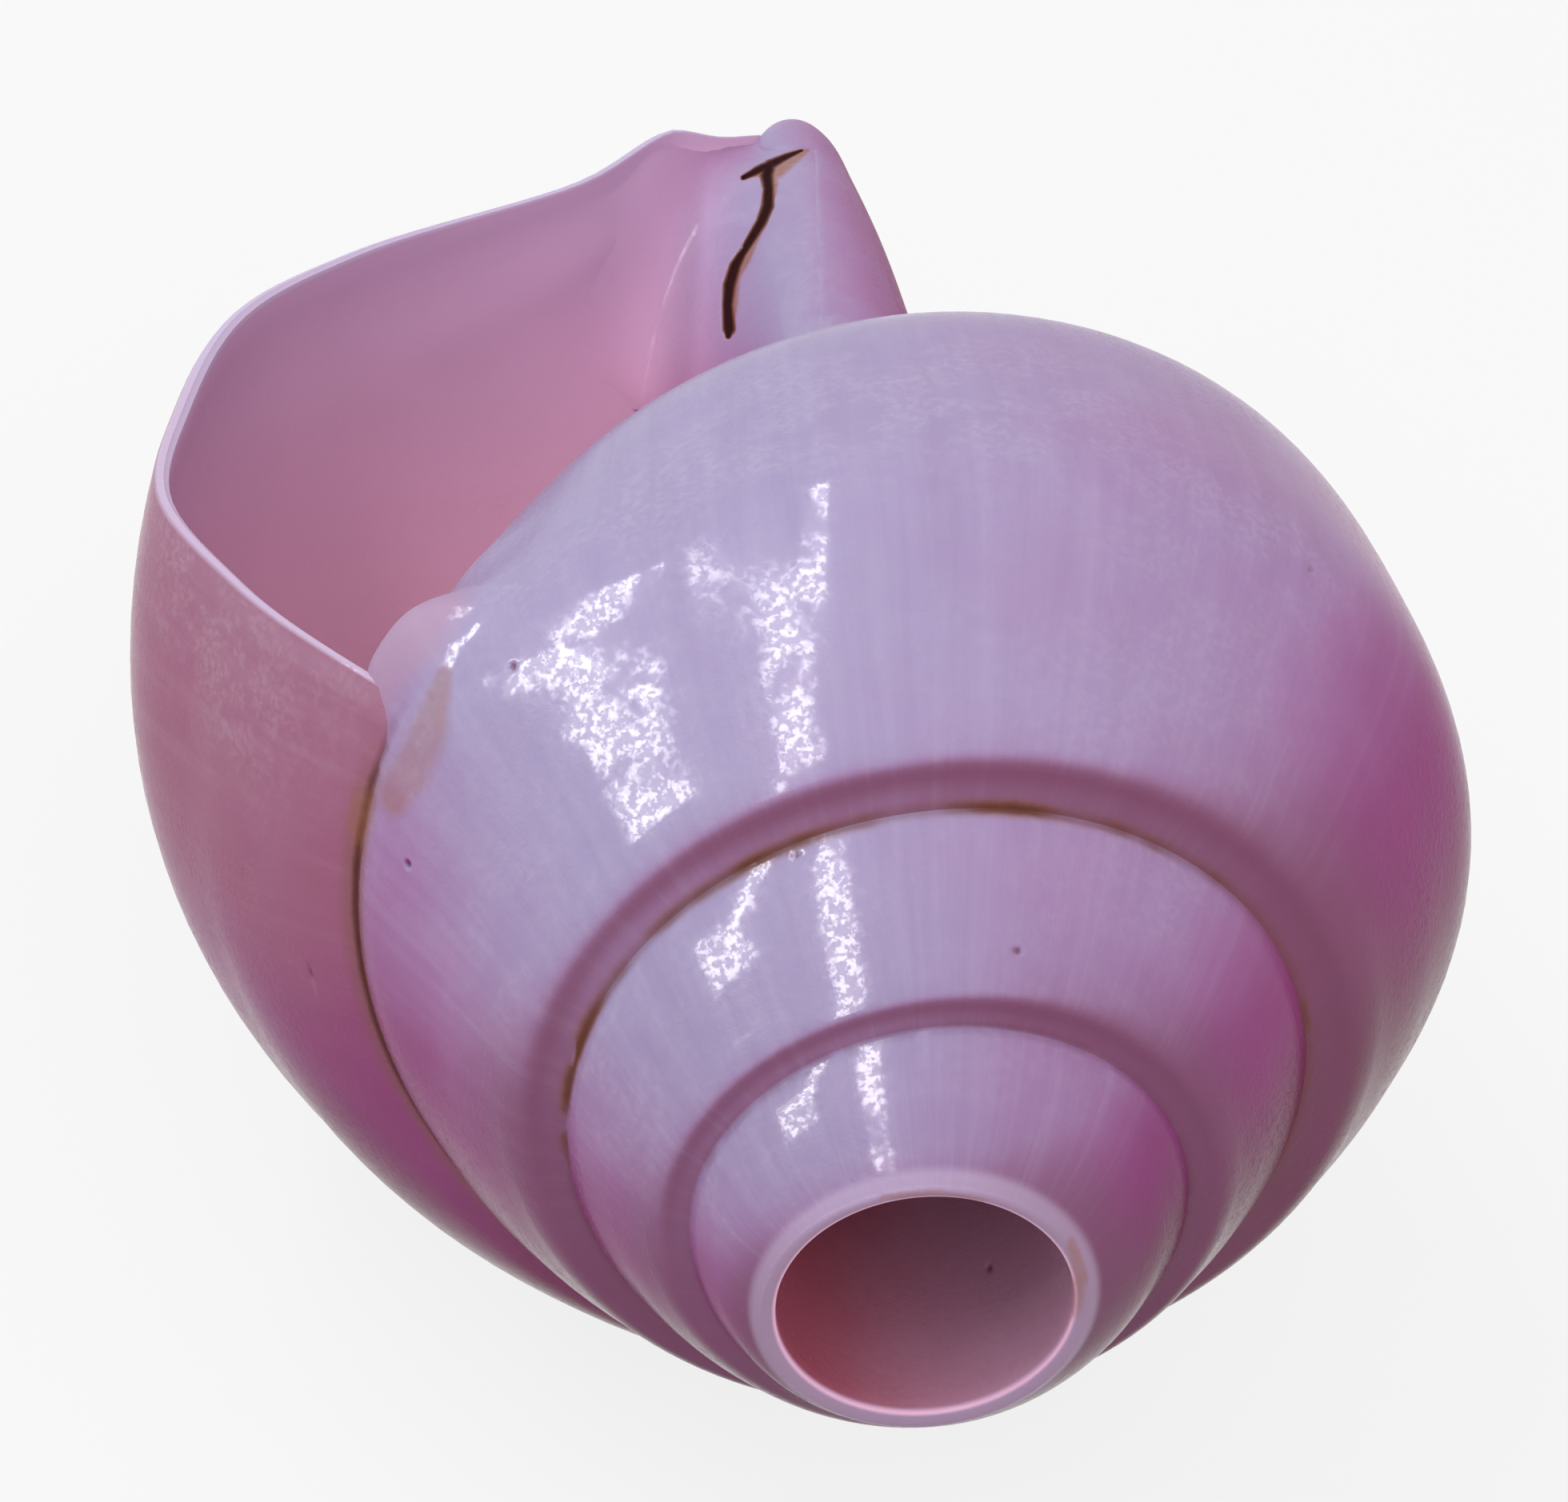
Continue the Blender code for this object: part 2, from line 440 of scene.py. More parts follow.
def grown(points, turns):
    """The points, in millimetres, moved by so many turns of growth each."""
    angle = -2 * pi * turns
    x, y, z = points.T
    wide = WIDER**turns
    turned_x = (x * np.cos(angle) - y * np.sin(angle)) * wide
    turned_y = (x * np.sin(angle) + y * np.cos(angle)) * wide
    return np.stack([turned_x, turned_y, z * LONGER**turns], 1)


place = noted(shell, "place")
turn = noted(shell, "turn")
off_middle = np.clip(place, 0, 1) - LIP_MIDDLE
further = (LIP_CURVE * off_middle**2 + LIP_SLOPE * off_middle) * ease(1 + turn / LIP_REACH)
move_points(shell, grown(positions(shell), further))
note(shell, "reached", turn + further)
print("the lip's ends reach up to", round(further.max(), 3), "turns further")

# %% [markdown]
# ## The last suture
# Near the lip the last whorl climbs outwards over the whorl before it, and its ledge fades into a plain
# slope. Both surfaces beside the suture move out together, each by less the further it is from the suture.

# %% Shift the last suture outwards
DRIFT_FROM = -0.12
DRIFT_A_TURN = 18.0
DRIFT_MOST = 2.6
DRIFT_ENDS = (0.03, 0.12)
DRIFT_SINKS = 0.3
LEDGE_FADES = (-0.36, -0.10)
LAST_FROM = -0.5
UNDER_REACH = 0.2
DRIFT_ABOVE = 0.13
DRIFT_BELOW = 0.25


def drift(reached):
    """How far outwards the last suture lies from the growth law's, in the lip's own millimetres."""
    rising = DRIFT_A_TURN * np.clip(reached - DRIFT_FROM, 0, None)
    return np.minimum(rising, DRIFT_MOST) * (1 - ease_from(*DRIFT_ENDS, reached))


reached = noted(shell, "reached")
angle, flat = in_planes(positions(shell))
size = np.stack([WIDER**reached, LONGER**reached], 1)
share = np.clip(place / along[SHOULDER_ROW], 0, 1)[:, None]
shifted = np.array(SUTURE) + np.stack([drift(reached), DRIFT_SINKS * drift(reached)], 1)
shoulder = np.broadcast_to(outline[SHOULDER_ROW], flat.shape)
below_shoulder = np.broadcast_to(outline[WIDEST_ROW] - outline[SHOULDER_ROW], flat.shape)
slope = curve_to_shoulder(share, shifted, shoulder, below_shoulder)
plain = ease_from(*LEDGE_FADES, reached) * (reached > LAST_FROM) * (share[:, 0] < 1)
flat += (slope * size - flat) * plain[:, None]

before = reached + 1
from_widest = place - along[WIDEST_ROW]
near_suture = np.where(from_widest < 0, 1 + from_widest / DRIFT_ABOVE, 1 - from_widest / DRIFT_BELOW)
under = abs(before) < UNDER_REACH
flat[:, 0] += drift(before) * ease(near_suture) * WIDER**before * under
flat[:, 1] += DRIFT_SINKS * drift(before) * ease(near_suture) * LONGER**before * under
move_points(shell, from_planes(angle, flat))
print("the last suture moves out by up to", round(drift(reached).max(), 1), "mm")

# %% [markdown]
# ## The callus
# Where the lip meets the whorl before it, shell is thickened into a small web, the callus. The faces there
# are subdivided, and their points are pushed out until they stand flush with the end of the lip.

# %% Raise the callus
CALLUS = (
    (32.6, 0.0),
    (34.3, 2.9),
    (35.1, 3.8),
    (36.0, 4.7),
    (36.8, 5.1),
    (37.6, 4.8),
    (39.0, 3.2),
    (41.0, 1.9),
    (44.0, 1.0),
    (48.0, 0.4),
    (52.0, 0.0),
)
CALLUS_RISES = (0.0, 0.03)
CALLUS_FALLS = (0.048, 0.08)
CALLUS_TURN = 0.04
CALLUS_BEYOND = 0.04
CALLUS_WHOLE = 1.5
CALLUS_SPAN = 6
CALLUS_CUTS = 3
CALLUS_SMOOTHED = 30

place = noted(shell, "place")
before = noted(shell, "reached") + 1
beyond = place - along[WIDEST_ROW]
around = (abs(before - CALLUS_TURN) < 0.09) & (abs(beyond - CALLUS_BEYOND) < 0.17)
subdivide(shell, around, CALLUS_CUTS)
place = noted(shell, "place")
before = noted(shell, "reached") + 1
angle, flat = in_planes(positions(shell))
here = (abs(before - CALLUS_TURN) < 0.1) & (place > 0.1) & (place < 0.8)
length = ease_from(*CALLUS_RISES, before) * (1 - ease_from(*CALLUS_FALLS, before))
web = smooth_curve(CALLUS, [CALLUS_SPAN] * (len(CALLUS) - 1))
height = np.interp(flat[:, 1] / LONGER**before, web[:, 0], web[:, 1]) * length
already = flat[:, 0] / WIDER**before - SUTURE[0]
raised = np.clip(height - np.clip(already, 0, None), 0, None) * here
flat[:, 0] += raised * WIDER**before
move_points(shell, from_planes(angle, flat))
note(shell, "callus", ease(raised / CALLUS_WHOLE))
beyond = place - along[WIDEST_ROW]
select_points(shell, (before > 0.02) & (before < 0.16) & (beyond > -0.12) & (beyond < 0.22))
bpy.ops.mesh.vertices_smooth(factor=0.5, repeat=CALLUS_SMOOTHED)
bpy.ops.object.mode_set(mode="OBJECT")
print("the callus rises by up to", raised.max().round(1), "mm")

# %% [markdown]
# ## The inner wall and the lip's rim
# The last whorl is doubled: the copy is turned to face inwards and moved in by the wall's thickness, which
# is about 2 mm and thins towards the lip. The lip's two edges are then joined by a rounded rim.

# %% Double the last whorl
WALL = 1.9
RIM_MIDDLE = 1.15
RIM_END = 0.6
RIM_MIDDLE_PLACE = 0.45
RIM_SPREAD = 0.25
THINNING = 0.05
INNER_TURNS = 1.0

note(shell, "inside", 0.0)
select_points(shell, noted(shell, "turn") > -INNER_TURNS - CLOSE)
bpy.ops.mesh.duplicate()
bpy.ops.mesh.flip_normals()
bpy.ops.object.mode_set(mode="OBJECT")
inner = selected_points(shell)
place = noted(shell, "place")
turn = noted(shell, "turn")
rim = RIM_END + (RIM_MIDDLE - RIM_END) * np.exp(-(((place - RIM_MIDDLE_PLACE) / RIM_SPREAD) ** 2))
full = WALL * WIDER**turn
thickness = rim + (full - rim) * ease(-turn / THINNING)
where = positions(shell)
where[inner] += normals(shell)[inner] * thickness[inner, None]
move_points(shell, where)
note(shell, "inside", inner.astype(float))

# %% [markdown]
# The rim is a half circle between the outer and the inner edge, so it is extruded in a few rows that turn
# round the middle of the two. A Bevel would need a flat end face first, which a thin curved lip hasn't got.

# %% Round the rim
RIM_ROWS = 4
A_LITTLE_TURN = 0.002


def nearest_rows(points, targets):
    """For each point, the number of the target that lies nearest to it."""
    return np.array([int(np.argmin(((targets - point) ** 2).sum(1))) for point in points])


at_lip = same(noted(shell, "turn"), 0)
inside = noted(shell, "inside")
outer_edge = np.where(at_lip & (inside < 0.5))[0]
inner_edge = np.where(at_lip & (inside > 0.5))[0]
outer_edge = outer_edge[np.argsort(noted(shell, "place")[outer_edge])]
inner_edge = inner_edge[np.argsort(noted(shell, "place")[inner_edge])]
where = positions(shell)
outer_at, inner_at = where[outer_edge], where[inner_edge]
centre = (outer_at + inner_at) / 2
half = (outer_at - inner_at) / 2
forwards = grown(centre, np.full(len(centre), A_LITTLE_TURN)) - centre
forwards /= np.linalg.norm(forwards, axis=1)[:, None]
bulge = forwards * np.linalg.norm(half, axis=1)[:, None]
row_at = outer_at
select_points(shell, np.isin(np.arange(len(where)), outer_edge))
for row in range(1, RIM_ROWS + 1):
    round_by = pi * row / RIM_ROWS
    bpy.ops.mesh.extrude_edges_move()
    bpy.ops.object.mode_set(mode="OBJECT")
    chosen = np.where(selected_points(shell))[0]
    where = positions(shell)
    match = nearest_rows(where[chosen], row_at)
    row_at = centre + half * cos(round_by) + bulge * sin(round_by)
    where[chosen] = row_at[match]
    move_points(shell, where)
    inside = noted(shell, "inside")
    inside[chosen] = row / RIM_ROWS
    note(shell, "inside", inside)
    bpy.ops.object.mode_set(mode="EDIT")
bpy.ops.object.mode_set(mode="OBJECT")
merge_touching(shell, same(noted(shell, "turn"), 0) & same(noted(shell, "inside"), 1))
print("with the inner wall and the rim:", len(shell.data.vertices), "points")

# %% [markdown]
# ## The blowing hole
# The spire's open edge is extruded in to the hole's circle, which makes the flat ground ring, and then down
# in rings to a rounded bottom.

# %% Bore the hole
HOLE_RADIUS = 7.5
RING_CREST = 0.12
RING_ROUNDING = 0.14
BORE = ((7.0, 14.0), (6.5, 18.0), (5.9, 22.0), (4.8, 25.4), (3.4, 26.8), (1.6, 27.4))
BORE_INSIDE = 2.0


def extrude_ring(piece, radius, depth, inside_value):
    """Extrudes the selected edge loop onto a circle round the axis. No radius keeps each point's own,
    less the rounding."""
    bpy.ops.object.mode_set(mode="EDIT")
    bpy.ops.mesh.extrude_edges_move()
    bpy.ops.object.mode_set(mode="OBJECT")
    chosen = np.where(selected_points(piece))[0]
    where = positions(piece)
    angle, flat = in_planes(where[chosen])
    flat[:, 0] = flat[:, 0] - RING_ROUNDING if radius is None else radius
    flat[:, 1] = depth
    where[chosen] = from_planes(angle, flat)
    move_points(piece, where)
    inside = noted(piece, "inside")
    inside[chosen] = inside_value
    note(piece, "inside", inside)


edges = select_open_edges(shell, abs(positions(shell)[:, 2] + APEX_CUT) < 0.02)
print("the ring starts from", edges, "edges")
extrude_ring(shell, None, APEX_CUT - RING_CREST, 0.0)
extrude_ring(shell, HOLE_RADIUS + 0.3, APEX_CUT - RING_CREST - 0.02, 0.0)
extrude_ring(shell, HOLE_RADIUS + 0.1, APEX_CUT - RING_CREST + 0.08, 1.0)
bore = smooth_curve(((HOLE_RADIUS, APEX_CUT + 0.3), (HOLE_RADIUS - 0.1, 10.0)) + BORE, (4, 4, 4, 4, 4, 4, 3))
for radius, depth in bore:
    extrude_ring(shell, radius, depth, BORE_INSIDE)
bpy.ops.object.mode_set(mode="EDIT")
bpy.ops.mesh.merge(type="CENTER")
bpy.ops.object.mode_set(mode="OBJECT")
print("with the hole:", len(shell.data.vertices), "points")

# %% [markdown]
# ## The pillar
# The whorls wind round a pillar, the columella. It shows inside the aperture and ends in the ear beside
# the canal. It is a turned shape, so its outline goes round the axis with a Screw modifier. Deep inside,
# nothing of it shows, so it starts well below the blow-hole.

# %% Turn the pillar
PILLAR = (
    (0.0, 60.0),
    (6.5, 62.0),
    (8.2, 78.0),
    (8.0, 92.0),
    (7.0, 105.0),
    (6.0, 115.0),
    (4.6, 125.0),
    (3.4, 132.0),
    (1.9, 135.6),
    (0.0, 137.0),
)
PILLAR_SPANS = (3, 8, 10, 14, 14, 18, 14, 6, 5)
PILLAR_SIDES = 112
PILLAR_PLACE = 1.3
PILLAR_TURN = -0.9



def mark_as_pillar(piece):
    """Notes on every point, and in the growth map, that it belongs to the pillar."""
    growth = piece.data.uv_layers.active or piece.data.uv_layers.new()
    growth.name = "growth"
    for loop in growth.data:
        loop.uv = (PILLAR_PLACE, PILLAR_TURN)
    note(piece, "place", PILLAR_PLACE)
    for name in ("turn", "reached"):
        note(piece, name, PILLAR_TURN)
    for name in ("inside", "callus"):
        note(piece, name, 0.0)


pillar = draw_chain("pillar", smooth_curve(PILLAR, PILLAR_SPANS))
screw = pillar.modifiers.new("turn", "SCREW")
screw.steps = PILLAR_SIDES
screw.render_steps = PILLAR_SIDES
screw.use_merge_vertices = True
screw.merge_threshold = TOUCHING
make_active(pillar)
bpy.ops.object.modifier_apply(modifier=screw.name)
where = positions(pillar)
face_outwards(pillar, np.argmax(np.hypot(where[:, 0], where[:, 1])))
mark_as_pillar(pillar)
join(pillar, shell)
print("with the pillar:", len(shell.data.vertices), "points")

# %% [markdown]
# ## Laying the shell down
# The shell is turned to lie on the back of its last whorl, and its place is applied to its mesh.

# %% Lay the shell down
REST_SPIN = radians(161.65)
REST_TIP = radians(83.3)
POLE = np.array((4.355, -70.847, 45.670))

shell.rotation_mode = "ZYX"
shell.rotation_euler = (REST_TIP, 0.0, REST_SPIN)
shell.location = POLE * MM
make_active(shell)
bpy.ops.object.transform_apply(location=True, rotation=True, scale=False)
print("its lowest point is at", round(positions(shell)[:, 2].min(), 2), "mm")

# %% [markdown]
# ## The skin over the corner
# On the real shell the wall runs up onto the pillar in one soft hollow, and no corner shows. A grid is
# hung over the corner, projected onto both surfaces and relaxed between them, as a cloth would sag. It is
# then thickened, so that its upper edge finishes the notch beside the ear.

# %% Hang a grid over the corner
SKIN_MIDDLE = np.array((-4.0, 38.1, 35.3))
SKIN_TURNED = (radians(54.7), radians(-5.2), radians(-2.4))
SKIN_SIDES = (18.6, 20.0)
SKIN_CELLS = (74, 80)
SKIN_LIFTED = 40.0
SKIN_REACH = 8.0

deselect_all()
bpy.ops.mesh.primitive_grid_add(
    x_subdivisions=SKIN_CELLS[0],
    y_subdivisions=SKIN_CELLS[1],
    size=1,
    location=SKIN_MIDDLE * MM,
    rotation=SKIN_TURNED,
)
skin = bpy.context.object
skin.name = "skin"
skin.scale = (SKIN_SIDES[0] * MM, SKIN_SIDES[1] * MM, 1)
bpy.ops.object.transform_apply(location=False, rotation=False, scale=True)
facing = skin.matrix_world.to_3x3() @ Vector((0, 0, 1))
skin.location += facing * SKIN_LIFTED * MM
wrap = skin.modifiers.new("project", "SHRINKWRAP")
wrap.target = shell
wrap.wrap_method = "PROJECT"
wrap.use_project_z = True
wrap.use_negative_direction = True
wrap.use_positive_direction = False
bpy.ops.object.modifier_apply(modifier=wrap.name)
missed = positions(skin)[:, 2] > -SKIN_REACH
select_points(skin, missed)
bpy.ops.mesh.delete(type="VERT")
bpy.ops.object.mode_set(mode="OBJECT")
print("the skin has", len(skin.data.vertices), "points;", missed.sum(), "lay too high and were removed")

# %% [markdown]
# A Smooth modifier relaxes the projected grid along the direction it was hung in. A vertex group holds its
# left, right and top sides where they lie on the shell.

# %% Relax it
SKIN_RELAXED = 800
SKIN_HELD_LEFT = 6.5
SKIN_HELD_RIGHT = 6.0
SKIN_HELD_TOP = 4.0


def side_weight(piece):
    """1 in the middle of the skin and 0 at the sides where it has to meet the shell."""
    where = positions(piece)
    left = ease((where[:, 0] + SKIN_SIDES[0] / 2) / SKIN_HELD_LEFT)
    right = ease((SKIN_SIDES[0] / 2 - where[:, 0]) / SKIN_HELD_RIGHT)
    top = ease((SKIN_SIDES[1] / 2 - where[:, 1]) / SKIN_HELD_TOP)
    return left * right * top


weigh(skin, "free", side_weight(skin))
relax = skin.modifiers.new("relax", "SMOOTH")
relax.use_x = False
relax.use_y = False
relax.factor = 0.9
relax.iterations = SKIN_RELAXED
relax.vertex_group = "free"
hung = positions(skin)
bpy.ops.object.modifier_apply(modifier=relax.name)
print("relaxing moved the skin by up to", round(abs(positions(skin) - hung).max(), 1), "mm")

# %% [markdown]
# The skin's sides are sunk a little into the shell, so that no edge shows, and the part of the pillar under
# the skin is pushed back out of its way. The pillar's far side stays where it is, and so do its flanks near
# the tip.

# %% Sink its sides and clear the pillar
SKIN_SUNK = 0.07
SKIN_SUNK_WIDTH = 2.2
SKIN_TOP_SUNK = 0.3
SKIN_CLEARS = 6.0
CLEARS_A_LITTLE = (0.5, 1.3)
CLEARS_FULLY = (1.5, 4.5)
CLEARS_FROM = (-31.0, -17.0)
TIP_BELOW = (5.0, -1.0)
TIP_FACING = (-0.3, -0.05)

where = positions(skin)
from_side = SKIN_SIDES[0] / 2 - abs(where[:, 0])
from_top = SKIN_SIDES[1] / 2 - where[:, 1]
where[:, 2] -= SKIN_SUNK * (1 - ease(from_side / SKIN_SUNK_WIDTH))
where[:, 2] -= SKIN_TOP_SUNK * (1 - ease(from_top / SKIN_SUNK_WIDTH))
move_points(skin, where)

to_skin = np.array(skin.matrix_world.inverted())
on_pillar = noted(shell, "place") > (1 + PILLAR_PLACE) / 2
in_skin = positions(shell) @ to_skin[:3, :3].T + to_skin[:3, 3] / MM
inwards = np.minimum(SKIN_SIDES[0] / 2 - abs(in_skin[:, 0]), SKIN_SIDES[1] / 2 - in_skin[:, 1])
back = ease_from(*CLEARS_A_LITTLE, inwards) + SKIN_CLEARS * ease_from(*CLEARS_FULLY, inwards)
back *= ease_from(*CLEARS_FROM, in_skin[:, 1]) * on_pillar
facing_skin = normals(shell) @ np.array(facing)
towards_skin = np.clip(facing_skin, 0, 1)
below_tip = ease_from(*TIP_BELOW, in_skin[:, 1]) * ease_from(*TIP_FACING, facing_skin)
back = np.minimum(back, SKIN_CLEARS * (towards_skin + (1 - towards_skin) * below_tip))
move_points(shell, positions(shell) - back[:, None] * np.array(facing))
print("the pillar is pushed back at", (back > 0).sum(), "points")

# %% [markdown]
# A Solidify modifier gives the skin a thickness. A vertex group keeps it thin on the left, where a thick
# skin would come out through the wall, and a Bevel rounds the edge that shows at the notch.

# %% Thicken it
SKIN_THICK = 0.9
SKIN_THIN_LEFT = 3.2
SKIN_THICKENS_OVER = 4.5
SKIN_THINNEST = 0.06
SKIN_ROUNDED = 0.25

where = positions(skin)
from_left = where[:, 0] + SKIN_SIDES[0] / 2
weigh(skin, "thick", ease((from_left - SKIN_THIN_LEFT) / SKIN_THICKENS_OVER))
thicken = skin.modifiers.new("thickness", "SOLIDIFY")
thicken.thickness = SKIN_THICK * MM
thicken.offset = -1
thicken.vertex_group = "thick"
thicken.thickness_vertex_group = SKIN_THINNEST
round_off = skin.modifiers.new("round the edge", "BEVEL")
round_off.width = SKIN_ROUNDED * MM
round_off.segments = 3
round_off.limit_method = "ANGLE"
round_off.angle_limit = radians(60)
make_active(skin)
bpy.ops.object.modifier_apply(modifier=thicken.name)
bpy.ops.object.modifier_apply(modifier=round_off.name)
print("the thickened skin has", len(skin.data.vertices), "points")

# %% [markdown]
# ## The crack
# A crack runs down from the ear, with a short stroke across its top. It is a V-shaped groove. The faces
# along its line are subdivided, and each point goes down by how near it is to the line. The groove is
# shallow near the skin's top edge, so that it doesn't cut through.

# %% Cut the crack
CRACK_DEPTH = 0.5
CRACK_DEEPENS = (1.5, 3.0)
CRACK_STEEPER = 1.3
CRACK_CUTS = 2
STROKE_BESIDE = 0.4
STEM_BESIDE = 0.5
UPPER_FACE = 0.1
CRACK_STROKE = ((3.2, 7.0, 0.25), (4.3, 7.6, 0.45), (5.4, 8.1, 0.5), (6.4, 8.6, 0.35), (7.6, 9.1, 0.15))
CRACK_STEM = (
    (5.2, 8.0, 0.55),
    (4.95, 7.2, 0.65),
    (5.1, 6.1, 0.5),
    (5.05, 4.8, 0.6),
    (4.6, 3.6, 0.5),
    (3.85, 2.35, 0.45),
    (3.2, 1.3, 0.4),
    (2.7, 0.4, 0.55),
    (2.3, -1.0, 0.6),
    (2.2, -2.4, 0.5),
    (2.35, -4.0, 0.6),
    (2.3, -4.5, 0.3),
)
RUST = ((4.0, 7.2, 0.3), (5.6, 7.6, 1.1), (7.0, 8.6, 0.8), (7.9, 9.2, 0.4))
RUST_BELOW = (
    (5.3, 7.0, 0.8),
    (5.4, 5.8, 0.45),
    (4.8, 3.6, 0.4),
    (2.7, -0.6, 0.6),
    (2.5, -2.8, 0.6),
    (2.5, -4.2, 0.4),
)


def nearness(points, line):
    """1 on the line and 0 from its half-width outwards. A line's corner ends with the half-width."""
    most = np.zeros(len(points))
    for start, end in zip(np.array(line[:-1]), np.array(line[1:])):
        run = end[:-1] - start[:-1]
        off = points[:, : len(run)] - start[:-1]
        share = np.clip(off @ run / (run @ run), 0, 1)
        apart = np.linalg.norm(off - share[:, None] * run, axis=1)
        most = np.maximum(most, 1 - apart / (start[-1] + share * (end[-1] - start[-1])))
    return most


def widened(line, by):
    return [(x, y, half + by) for x, y, half in line]


def near_lines(piece, *lines):
    """How near the points of the piece's upper face are to the nearest of these lines."""
    most = np.max([nearness(positions(piece), line) for line in lines], axis=0)
    return most * (normals(piece)[:, 2] > UPPER_FACE)


beside = near_lines(skin, widened(CRACK_STROKE, STROKE_BESIDE), widened(CRACK_STEM, STEM_BESIDE))
subdivide(skin, beside > 0, CRACK_CUTS)
where = positions(skin)
crack = np.clip(near_lines(skin, CRACK_STROKE, CRACK_STEM) * CRACK_STEEPER, 0, 1)
where[:, 2] -= CRACK_DEPTH * crack * ease_from(*CRACK_DEEPENS, SKIN_SIDES[1] / 2 - where[:, 1])
rust = near_lines(skin, RUST, RUST_BELOW)
move_points(skin, where)
note(skin, "crack", crack)
print("the crack has", (crack > 0).sum(), "points and goes", CRACK_DEPTH, "mm deep")

# %% [markdown]
# Rusty dirt lies beside the crack, and the skin turns from pink on the left to the outside's lilac on the
# right. Both are notes that the shader mixes colours by. Then the skin joins the shell.

# %% Note the rust beside it
RUST_STRONGER = 1.6
BLUSH_ENDS = (5.0, -6.0)

note(skin, "rust", np.clip(rust * RUST_STRONGER, 0, 1))
note(skin, "blush", ease_from(*BLUSH_ENDS, where[:, 0]))
make_active(skin)
bpy.ops.object.transform_apply(location=True, rotation=True, scale=False)
mark_as_pillar(skin)
join(skin, shell)
print("with the skin:", len(shell.data.vertices), "points")

# %% [markdown]
# ## Pits
# The polished surface has a few small dark pits. The faces round each pit are subdivided, and their
# points are pressed in to a shallow dimple.

# %% Press the pits
PITS = (
    (-33.0, 12.6, 33.1),
    (-19.6, 22.7, 24.6),
    (-17.5, -36.0, 62.3),
    (25.2, -29.9, 66.2),
    (8.0, -53.1, 59.9),
    (-3.0, -48.0, 61.1),
    (-27.8, -36.1, 38.7),
    (-31.9, -31.4, 42.2),
    (-22.6, -39.8, 51.2),
    (9.0, -56.2, 38.9),
    (31.5, 4.0, 58.0),
    (12.0, 30.0, 61.0),
    (-5.0, 8.0, 70.0),
)
PIT_RADIUS = 0.36
PIT_DEPTH = 0.16
PIT_REACH = 1.5
PIT_CUTS = 3


def pit_distance(piece):
    """How far each point is from the nearest pit, in millimetres."""
    where = positions(piece)
    return np.min([np.linalg.norm(where - np.array(pit), axis=1) for pit in PITS], axis=0)


subdivide(shell, pit_distance(shell) < PIT_REACH, PIT_CUTS)
pit = ease(1 - pit_distance(shell) / PIT_RADIUS)
move_points(shell, positions(shell) - normals(shell) * (pit * PIT_DEPTH)[:, None])
note(shell, "pit", pit)
print("the pits hold", (pit > 0).sum(), "points")

# %% [markdown]
# ## Notes for the finish
# The finish differs from place to place, so some measures of each point are kept on the mesh, for the
# shader to read. The first is painted light. It follows which way each point faces, so the upper side keeps
# the lilac, and the sides facing right and down get painted pink bounce light and shade, from orchid
# through magenta to a deep crimson.

# %% Note the painted bounce and shade
WARMTH = 0.3
PAINTED_BOUNCE_RIGHT = 0.55
PAINTED_SHADE_DOWN = 1.4
COOL_ABOVE = 0.75
WARMER_PILLAR = 0.2
OFF_OUTLINE = 1.2
DOWN_MOST = 1.2
RIM_INSIDE = (0.02, 0.98)
RIM_FROM = -0.03

# Painted light: this note follows the facing of each point, so the sides facing right and down get painted
# pink bounce light and painted shade.
towards = normals(shell)
painted_bounce_shade = WARMTH + PAINTED_BOUNCE_RIGHT * towards[:, 0]
painted_bounce_shade += PAINTED_SHADE_DOWN * np.clip(COOL_ABOVE - towards[:, 2], 0, DOWN_MOST)
inside = noted(shell, "inside")
turn = noted(shell, "turn")
place = noted(shell, "place")
on_outline = place < OFF_OUTLINE
note(shell, "painted_bounce_shade", painted_bounce_shade + WARMER_PILLAR * ~on_outline)
note(shell, "rim", (inside > RIM_INSIDE[0]) & (inside < RIM_INSIDE[1]) & (turn > RIM_FROM))
note(shell, "pink", np.maximum((abs(inside - 1) < 0.5) & on_outline, noted(shell, "blush")))
print("warmth runs from", painted_bounce_shade.min().round(2), "to", painted_bounce_shade.max().round(2))

# %% [markdown]
# Dirt gathers in the sutures, and a band of painted shade lies along the last one. So each point notes how
# far it is from the nearest suture and at which turn that suture is there. A KD tree finds the nearest
# points of the sutures quickly.

# %% Note the gap to the suture
NO_GAP = 8.0

where = positions(shell)
seam = np.flatnonzero(same(place, 0) & (turn > WORN_FROM) & same(inside, 0))
finder = KDTree(len(seam))
for order, index in enumerate(seam):
    finder.insert(where[index], order)
finder.balance()


def suture_from(point):
    """How far a point is from the stretch between the two nearest suture points, and the nearest one."""
    (first, order, _), (second, _, _) = finder.find_n(point, 2)
    run = second - first
    share = min(max((Vector(point) - first).dot(run) / max(run.length_squared, 1e-9), 0.0), 1.0)
    return (Vector(point) - first - run * share).length, order


found = [suture_from(point) for point in where]
gap = np.minimum([distance for distance, _ in found], NO_GAP)
note(shell, "gap", np.where((inside < 0.5) & on_outline, gap, NO_GAP))
note(shell, "seam_turn", noted(shell, "reached")[seam[[order for _, order in found]]])
print("the sutures hold", len(seam), "points")

# %% [markdown]
# A few stains lie beside the callus and on the rim of the blow-hole. Each is a line of places with a
# half-width.

